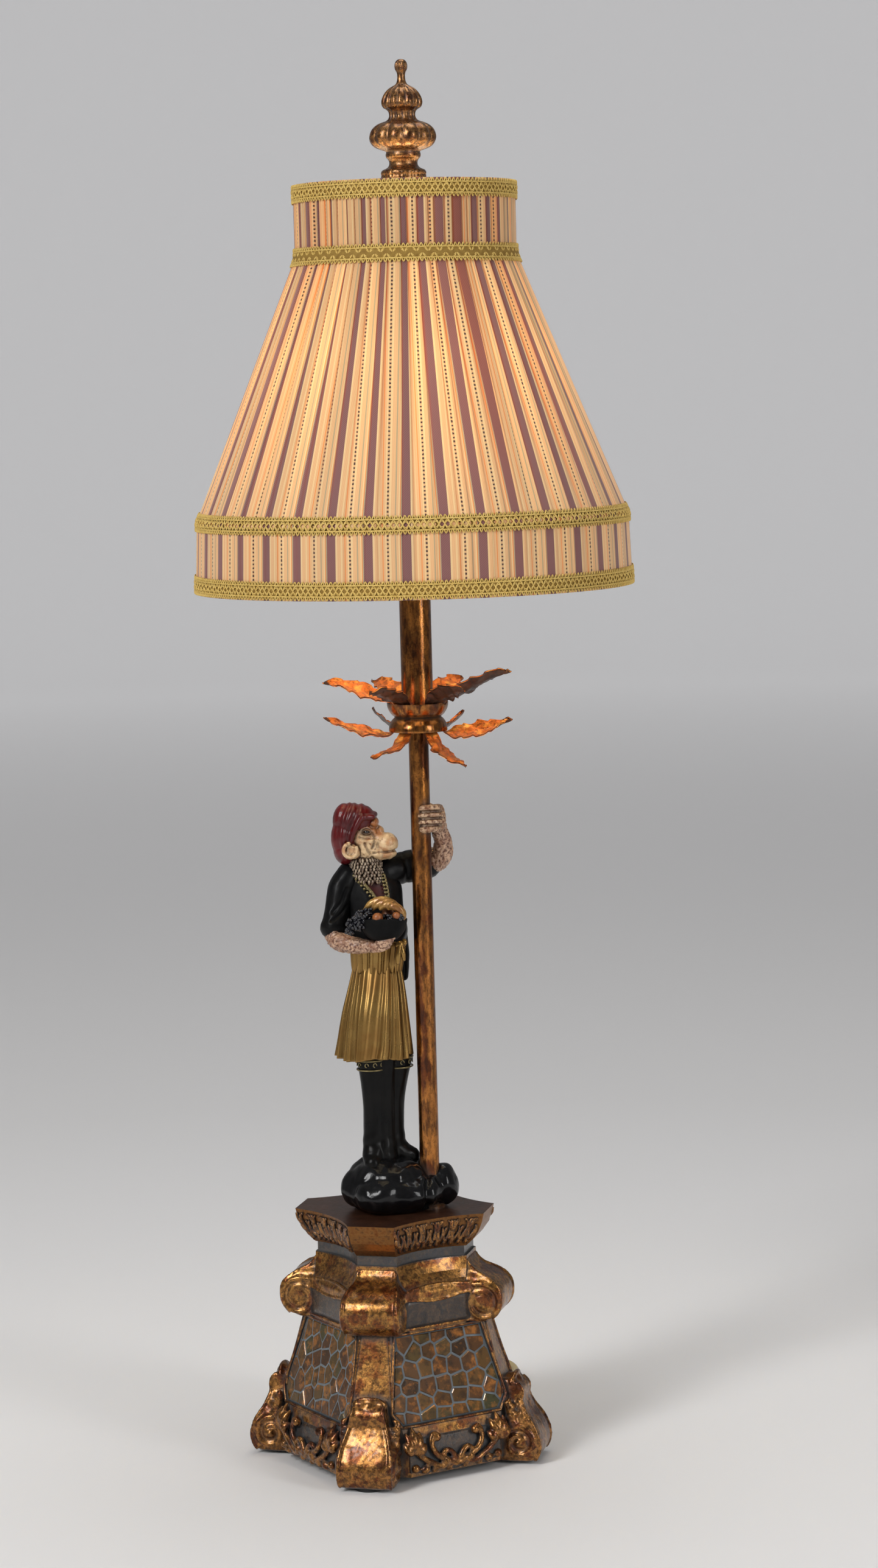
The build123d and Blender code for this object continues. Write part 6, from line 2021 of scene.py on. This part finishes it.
def add_jacket_edging():
    """A braid with a row of beads on each side of it, down both front edges."""
    edging = Pile()
    for path, width in ((VEST_EDGE_LEFT, 2.1), (VEST_EDGE_RIGHT, 1.3)):
        line = smooth_path(path, 26)
        placed = [seen(u - 0.6, jacket_front(u, z, 0.5), z) for u, z in line]
        edging.add(*tube(placed, width * 0.5, 8))
        for k in range(1, 25, 2):
            u, z = line[k]
            for out in (0.0, -width):
                edging.add(*blob(u + out - 1.2, jacket_front(u + out, z, 0.9), z, 0.95, 0.8, 0.95))
    mesh_piece("jacket_edging", edging.form(), embroidery, "base", "jacket_black")


def add_buttons():
    studs = Pile()
    for k in range(4):
        z = 360.5 + 4.4 * k
        u = -22.8 - 0.25 * k
        studs.add(*blob(u, jacket_front(u, z, -0.9), z, 0.75, 0.6, 0.75))
    mesh_piece("vest_buttons", studs.form(), embroidery, "base", "jacket_black")


def fur_shape(direction_squash):
    def shape(points, p):
        hair = ripple(p * direction_squash, 1.25, 5.0)
        tufts = ripple(p * direction_squash, 2.8, 8.0)
        return 0.62 * hair + 0.55 * tufts

    return shape


SLEEVE_FOLDS = [([(-50, 366), (-54, 357), (-60, 350)], 1.2, 0.9), ([(-49, 356), (-54, 349), (-61, 344)], 1.0, 0.8)]


def add_near_arm():
    """The arm that carries the bowl."""
    sleeve = [
        limb(
            [
                (-48, 4, 375, 9.4), (-53.6, 1.5, 366, 9.6), (-56.6, -1, 354, 8.8), (-58.4, -3.4, 345, 8.8),
                (-59.6, -5, 339.5, 9.6)
            ],
            24, 30
        )
    ]

    def sleeve_folds(points, p):
        return sum(groove(p, *fold) for fold in SLEEVE_FOLDS) + 0.3 * ripple(points, 6.0, 2.0)

    sculpt("near_sleeve", sleeve, 0.7, jacket_paint, sleeve_folds, 2, slot="jacket_black")
    forearm = [
        limb(
            [
                (-60, -6, 335, 6.6), (-56.5, -11, 330, 6.6), (-48, -16, 327.4, 6.0), (-40, -20, 326.4, 5.2),
                (-33, -23.5, 326.2, 4.6)
            ],
            20, 30
        ),
    ]
    sculpt(
        "near_forearm", forearm, 0.55, fur_paint, fur_shape(np.array([0.55, 0.9, 1.3])), 1, slot="fur_tan",
        replaces=["carrying_arm"]
    )
    hand = [blob(-31.5, -24.5, 326.4, 5.2, 5.0, 4.2)]
    for k in range(4):
        hand.append(
            limb(
                [
                    (-31.5 + 0.8 * k, -26.5 - 0.8 * k, 323.4 + 2.0 * k, 1.7),
                    (-26.5 + 1.2 * k, -28.5 - 0.9 * k, 324.0 + 2.1 * k, 1.6),
                    (-21.5 + 1.2 * k, -27.5 - 1.0 * k, 325.8 + 2.1 * k, 1.25)
                ],
                10,
                12,
            )
        )
    sculpt("near_hand", hand, 0.45, fur_paint, None, 2, slot="fur_tan")


def add_far_arm():
    """The raised arm, whose fist holds the pole."""
    far_sleeve = [
        limb(
            [(-25, 8, 377.5, 10.0), (-13, 13.5, 380.2, 10.6), (-3, 17, 381.2, 11.0), (3.6, 18.2, 382.4, 10.6)], 24, 26
        )
    ]

    def far_folds(points, p):
        return groove(p, [(-12, 390), (-9, 380), (-10, 371)], 1.2, 0.8) + 0.3 * ripple(points, 6.0, 5.0)

    sculpt("far_sleeve", far_sleeve, 0.75, jacket_paint, far_folds, 2, slot="jacket_black")
    arm = [
        limb(
            [
                (2, 18.4, 383, 8.8), (9.6, 16.8, 382.8, 8.8), (14.4, 13.4, 387.5, 7.4), (15.0, 9.6, 396, 6.2),
                (13.4, 6.0, 403, 5.6), (11.6, 2.6, 409, 5.9)
            ],
            22, 34
        )
    ]
    sculpt("far_forearm", arm, 0.55, fur_paint, fur_shape(np.array([1.2, 1.0, 0.6])), 1, slot="fur_tan")
    fist = [blob(12.6, 2.4, 413.4, 4.9, 6.6, 9.8), blob(14.4, -2.6, 413.4, 3.2, 4.6, 9.0)]
    for k, z in enumerate((420.6, 415.8, 411.0, 406.4)):
        short = (1.2, 0.0, 0.4, 1.8)[k]
        fist.append(
            limb(
                [
                    (14.6 - short, 0.5, z, 2.75), (12.6 - short, -6.2, z + 0.2, 2.85), (7.2, -9.6, z, 2.55),
                    (2.4, -9.6, z - 0.3, 2.75), (0.4 + 0.4 * short, -8.8, z - 0.5, 2.1)
                ],
                14, 22
            )
        )
    fist.append(limb([(12.5, 8.0, 417, 3.2), (6.5, 10.2, 420.5, 2.8), (-1.0, 9.6, 422.6, 2.3)], 12, 14))

    def knuckles(points, p):
        seams = sum(groove(p, [(-2, z), (16, z + 0.3)], 0.8, 1.0) for z in (418.2, 413.4, 408.7))
        return seams * (p[:, 1] < 0) + 0.3 * ripple(points, 1.8, 1.0)

    sculpt("far_fist", fist, 0.5, fist_paint, knuckles, 1, slot="fur_tan", replaces=["raised_arm"])


EYE = (-35.2, 405.2)
# lines of the face: points (right, up), width and depth
WRINKLES = [
    ([(-40.5, 407.5), (-37.5, 409.8), (-33.5, 410.2), (-30.4, 408.2)], 0.7, 0.8),
    ([(-40.5, 401.8), (-36.5, 400.4), (-32.5, 400.8)], 0.8, 1.2),
    ([(-30.4, 404.5), (-29.4, 399.5), (-31.2, 394.0)], 0.9, 1.5),
    ([(-36.5, 397.5), (-34.8, 393.0), (-33.0, 389.5)], 0.8, 1.2),
]
# folds of the cap
CAP_FOLDS = [
    ([(-40.0, 428.0), (-41.6, 420.0), (-45.6, 409.0), (-48.6, 398.0)], 1.7, 1.2),
    ([(-47.5, 428.0), (-53.0, 416.0), (-55.4, 402.0), (-53.0, 389.0)], 1.4, 0.9),
    ([(-44.5, 427.0), (-48.5, 416.0), (-51.6, 402.0), (-50.4, 387.0)], 1.0, 0.6),
    ([(-36.0, 426.0), (-35.0, 420.0), (-35.6, 416.0)], 1.4, 0.5),
]


def add_head():
    mid = HEAD_MID
    forms = [
        blob(-38.5, mid, 402.5, 12.0, 11.2, 12.6),
        blob(-36, mid, 394, 10.5, 10.4, 9.6),
        blob(-30.6, mid, 411.6, 3.9, 8.2, 4.6, -20),
        blob(-27.6, mid, 404.8, 4.4, 4.0, 5.0, -30),
        blob(-22.0, mid, 396.6, 8.5, 8.6, 8.0, 0),
        blob(-25.6, mid, 399.6, 7.4, 7.6, 5.6, -22),
        blob(-21.8, mid, 389.4, 7.2, 6.8, 3.7, 8),
        blob(-28, mid, 390, 7.6, 8.4, 5.4),
        *[blob(-33.6, mid + hand * 6.6, 399.6, 6.0, 4.2, 4.0, -20) for hand in (-1, 1)],
        limb([(-38, 3, 389, 10.0), (-36, 4, 380, 10.2), (-34.4, 4.4, 372.5, 9.8)], 20, 14),
    ]

    def shape(points, p):
        cheek = np.abs(p[:, 1] - mid) > 2.0
        out = groove(p, [(-12.0, 393.6), (-16.5, 391.9), (-22.0, 391.0), (-27.0, 391.2), (-30.6, 390.4)], 0.6, 1.0)
        out += cheek * dent(p, (EYE[0], EYE[1] + 0.2), (3.9, 2.7), 2.8)
        for wrinkle in WRINKLES:
            out += cheek * groove(p, *wrinkle)
        out += dent(p, (-22.0, 403.2), (0.9, 0.8), 1.4) * (np.abs(np.abs(p[:, 1] - mid) - 2.3) < 1.6)
        out += groove(p, [(-28.8, 408.0), (-26.6, 406.6)], 0.8, 0.5)
        whisker = (p[:, 2] < 388) | (p[:, 0] < -36)
        out += np.where(whisker, 0.4, 0.16) * ripple(p * [1, 1, 0.7], 1.5, 3.0)
        out += 0.18 * ripple(points, 3.0, 6.0)
        return out

    sculpt("head_cast", forms, 0.5, face_paint, shape, 2, slot="fur_tan", replaces=["head"])


def add_eyes():
    eyes = Pile()
    lids = Pile()
    for hand in (-1, 1):
        v = HEAD_MID + hand * 8.9
        eyes.add(*blob(EYE[0], v - hand * 1.0, EYE[1], 1.9, 1.5, 1.6))
        for lift, bow in ((1.5, 1.0), (-1.3, -0.7)):
            lid = [
                seen(EYE[0] + 3.0 * s, v - hand * 0.1 * abs(s), EYE[1] + lift * (1 - s * s) + 0.2 * bow)
                for s in np.linspace(-1, 1, 12)
            ]
            lids.add(*tube(lid, 0.62, 6))
    mesh_piece("eyes", eyes.form(), eye_paint, "base", "fur_tan")
    mesh_piece("eyelids", lids.form(), face_paint, "base", "fur_tan")


def add_ears():
    ears = []
    for hand in (-1, 1):
        v = HEAD_MID + hand * 11.2
        rim = []
        for t in np.linspace(0.15, 1.0, 34):
            a = 2 * math.pi * t + 0.6
            rim.append(
                seen(-46.6 + 4.6 * math.cos(a), v + hand * (0.9 - 1.4 * math.cos(a)), 392.8 + 5.0 * math.sin(a))
            )
        ears.append(tube(rim, 1.35, 10))
        inner = [
            seen(-46.4 + 2.6 * math.cos(a), v + hand * 0.1, 392.6 + 3.0 * math.sin(a))
            for a in np.linspace(0.5, 4.6, 18)
        ]
        ears.append(tube(inner, 0.8, 8))
        ears.append(blob(-46.2, v - hand * 1.3, 392.8, 4.6, 1.6, 5.0))
        ears.append(blob(-44.0, v - hand * 2.8, 391.0, 4.4, 2.6, 4.4))
    sculpt("ears_cast", ears, 0.45, face_paint, None, 1, slot="fur_tan")


RUFF_ROWS = 8
TUFTS = 30


def add_ruff():
    """Tufts of fur round the throat, each lying over the next row down."""
    rng = random.Random(21)
    pile = Pile()
    for row in range(RUFF_ROWS):
        z = 387.0 - 2.1 * row
        u_mid = -37.2 + 0.35 * row
        v_mid = 3.0 + 0.2 * row
        ru = 10.4 + 0.25 * row
        rv = 10.4 + 0.1 * row
        for k in range(TUFTS):
            a = 2 * math.pi * (k + 0.5 * (row % 2) + rng.uniform(-0.25, 0.25)) / TUFTS
            low = z - 3.2 - rng.uniform(0, 1.4)
            start = (u_mid + (ru - 0.8) * math.cos(a), v_mid + (rv - 0.8) * math.sin(a), z + rng.uniform(-0.5, 0.5))
            mid = (u_mid + (ru + 0.9) * math.cos(a + 0.03), v_mid + (rv + 0.9) * math.sin(a + 0.03), z - 1.8)
            end = (
                u_mid + (ru + 0.5) * math.cos(a + rng.uniform(-0.1, 0.12)), v_mid + (rv + 0.5) * math.sin(a + 0.05),
                low
            )
            pile.add(*tube([seen(*start), seen(*mid), seen(*end)], [0.9, 1.05, 0.3], 6))
    mesh_piece("throat_ruff", pile.form(), ruff_paint, "base", "fur_tan")


CAP_ROLL = [(-31.0, 8.6, 415.6, 2.2), (-38.6, 11.6, 415.0, 2.4), (-44.2, 12.4, 406.0, 2.4), (-46.6, 11.6, 399.0, 2.2)]


def add_cap():
    mid = HEAD_MID + 0.6
    forms = [
        blob(-42.4, mid, 414.2, 13.6, 12.8, 11.6),
        blob(-46.6, mid, 411.5, 12.0, 12.4, 15.0, 12),
        blob(-49.4, mid, 402.0, 10.8, 12.4, 16.0, -4),
        blob(-48.6, mid, 394.0, 9.8, 11.8, 11.8, -16),
        *[limb([(u, mid + hand * v, z, r) for u, v, z, r in CAP_ROLL], 12, 20) for hand in (-1, 1)],
        limb([(-31.2, mid - 8.0, 415.8, 2.1), (-29.4, mid, 417.2, 2.2), (-31.2, mid + 8.0, 415.8, 2.1)], 12, 14),
    ]

    def shape(points, p):
        return sum(groove(p, *fold) for fold in CAP_FOLDS) + 0.15 * ripple(points, 9.0, 2.6)

    sculpt("cap_cast", forms, 0.65, cap_paint, shape, 7, slot="cap_red", replaces=["cap"])


def add_bowl():
    centre = (-24.6, -25.0)
    line = [
        (3.0, 329.8), (6.0, 330.0), (9.0, 331.2), (11.8, 333.4), (14.0, 336.6), (15.4, 340.4), (16.2, 344.4),
        (15.8, 345.4), (15.0, 344.6), (13.6, 340.6), (9.0, 338.0), (3.0, 337.4)
    ]
    turns = 2 * np.pi * np.arange(56) / 56
    rings = [
        np.array([seen(centre[0] + r * math.cos(t), centre[1] + r * 0.82 * math.sin(t), z) for t in turns])
        for r, z in smooth_path(line, 40)
    ]
    mesh_piece("bowl_cast", capped_rings(rings), bowl_paint, "base", "bowl_black", ["bowl"])


HANGING_GRAPES = 300
LOOSE_GRAPES = 46


def add_grapes():
    """A bunch that hangs over the bowl's left rim, and some more among the fruit."""
    rng = random.Random(17)
    beads = Pile()
    for _ in range(HANGING_GRAPES):
        t = rng.random()
        u = -36.0 - 10.5 * t + rng.uniform(-4.4, 4.4)
        v = -27.0 - 1.5 * t + rng.uniform(-4.6, 4.6)
        z = 349.0 - 5.5 * t + rng.uniform(-5.0, 3.6) - 3.4 * t * t
        beads.add(*blob(u, v, z, *[1.25] * 3))
    for _ in range(LOOSE_GRAPES):
        u, v, z = -18 + rng.uniform(-7, 7), -31 + rng.uniform(-5, 5), 345.6 + rng.uniform(-1, 2.2)
        beads.add(*blob(u, v, z, *[1.3] * 3))
    mesh_piece("grape_beads", beads.form(), grape_paint, "base", "grape_blue", ["grapes"])


def add_fruit():
    """Four bananas side by side over three round fruits."""
    fruit = []
    for k in range(4):
        back = 2.4 * k
        arc = [
            (-37.6 + 5.6 * k, -24.5 - back, 351.8 + 0.2 * k, 1.3),
            (-32.6 + 4.6 * k, -24.8 - back, 356.2 - 0.8 * k, 2.7),
            (-25.2 + 3.4 * k, -25.0 - back, 358.2 - 1.7 * k, 3.0),
            (-17.8 + 2.0 * k, -25.0 - back, 355.4 - 1.9 * k, 2.8),
            (-12.9 + 0.7 * k, -24.5 - back, 350.0 - 1.2 * k, 2.0),
            (-12.0 + 0.4 * k, -24.0 - back, 346.6 - 0.5 * k, 1.1),
        ]
        fruit.append(limb(arc, 12, 26))

    sculpt(
        "banana_hand", fruit, 0.5, banana_paint, lambda points, _: 0.18 * ripple(points, 3.0, 1.0), 1,
        slot="fruit_orange", replaces=["fruit"]
    )
    balls = (
        (-28.6, -34.4, 346.4, 3.7, 3.6, 3.6), (-15.6, -33.4, 347.4, 3.0, 3.0, 3.0),
        (-21.8, -20.0, 348.0, 4.6, 4.6, 4.6)
    )
    rounds = Pile(blob(*ball) for ball in balls)
    mesh_piece("round_fruit", rounds.form(), orange_paint, "base", "fruit_orange")


FIST_TOP = 427.0
RISE_TO_FRONT = 0.107  # what stands nearer the camera is seen lower, so it is set this share higher


def settle(names, scale, shift_u, from_pole=False):
    """Draws finished pieces in about the top of the raised fist, to the size read from the photograph."""
    for name in names:
        piece = bpy.data.objects[name]
        p = as_seen(vertex_rows(piece) / MM)
        p[:, 2] = FIST_TOP - scale * (FIST_TOP - p[:, 2]) + RISE_TO_FRONT * np.maximum(-p[:, 1], 0)
        p[:, 0] = scale * p[:, 0] + shift_u
        if from_pole:
            p[:, 1] *= scale
        place_vertices(piece, turned(p, FRONT_TURN))


add_rock()
add_boots()
add_boot_cuffs()
add_skirt()
add_sash()
add_jacket()
add_jacket_edging()
add_buttons()
add_near_arm()
add_far_arm()
add_head()
add_eyes()
add_ears()
add_ruff()
add_cap()
add_bowl()
add_grapes()
add_fruit()
HEAD_AND_BOWL = (
    "near_sleeve", "near_forearm", "near_hand", "head_cast", "eyes", "eyelids", "ears_cast", "throat_ruff",
    "cap_cast", "bowl_cast", "grape_beads", "banana_hand", "round_fruit",
)  # fmt: skip
settle(HEAD_AND_BOWL, 0.92, -2.2)
settle(("far_forearm", "far_fist"), 0.92, 0.0, True)
settle(("far_sleeve",), 0.97, -0.6)
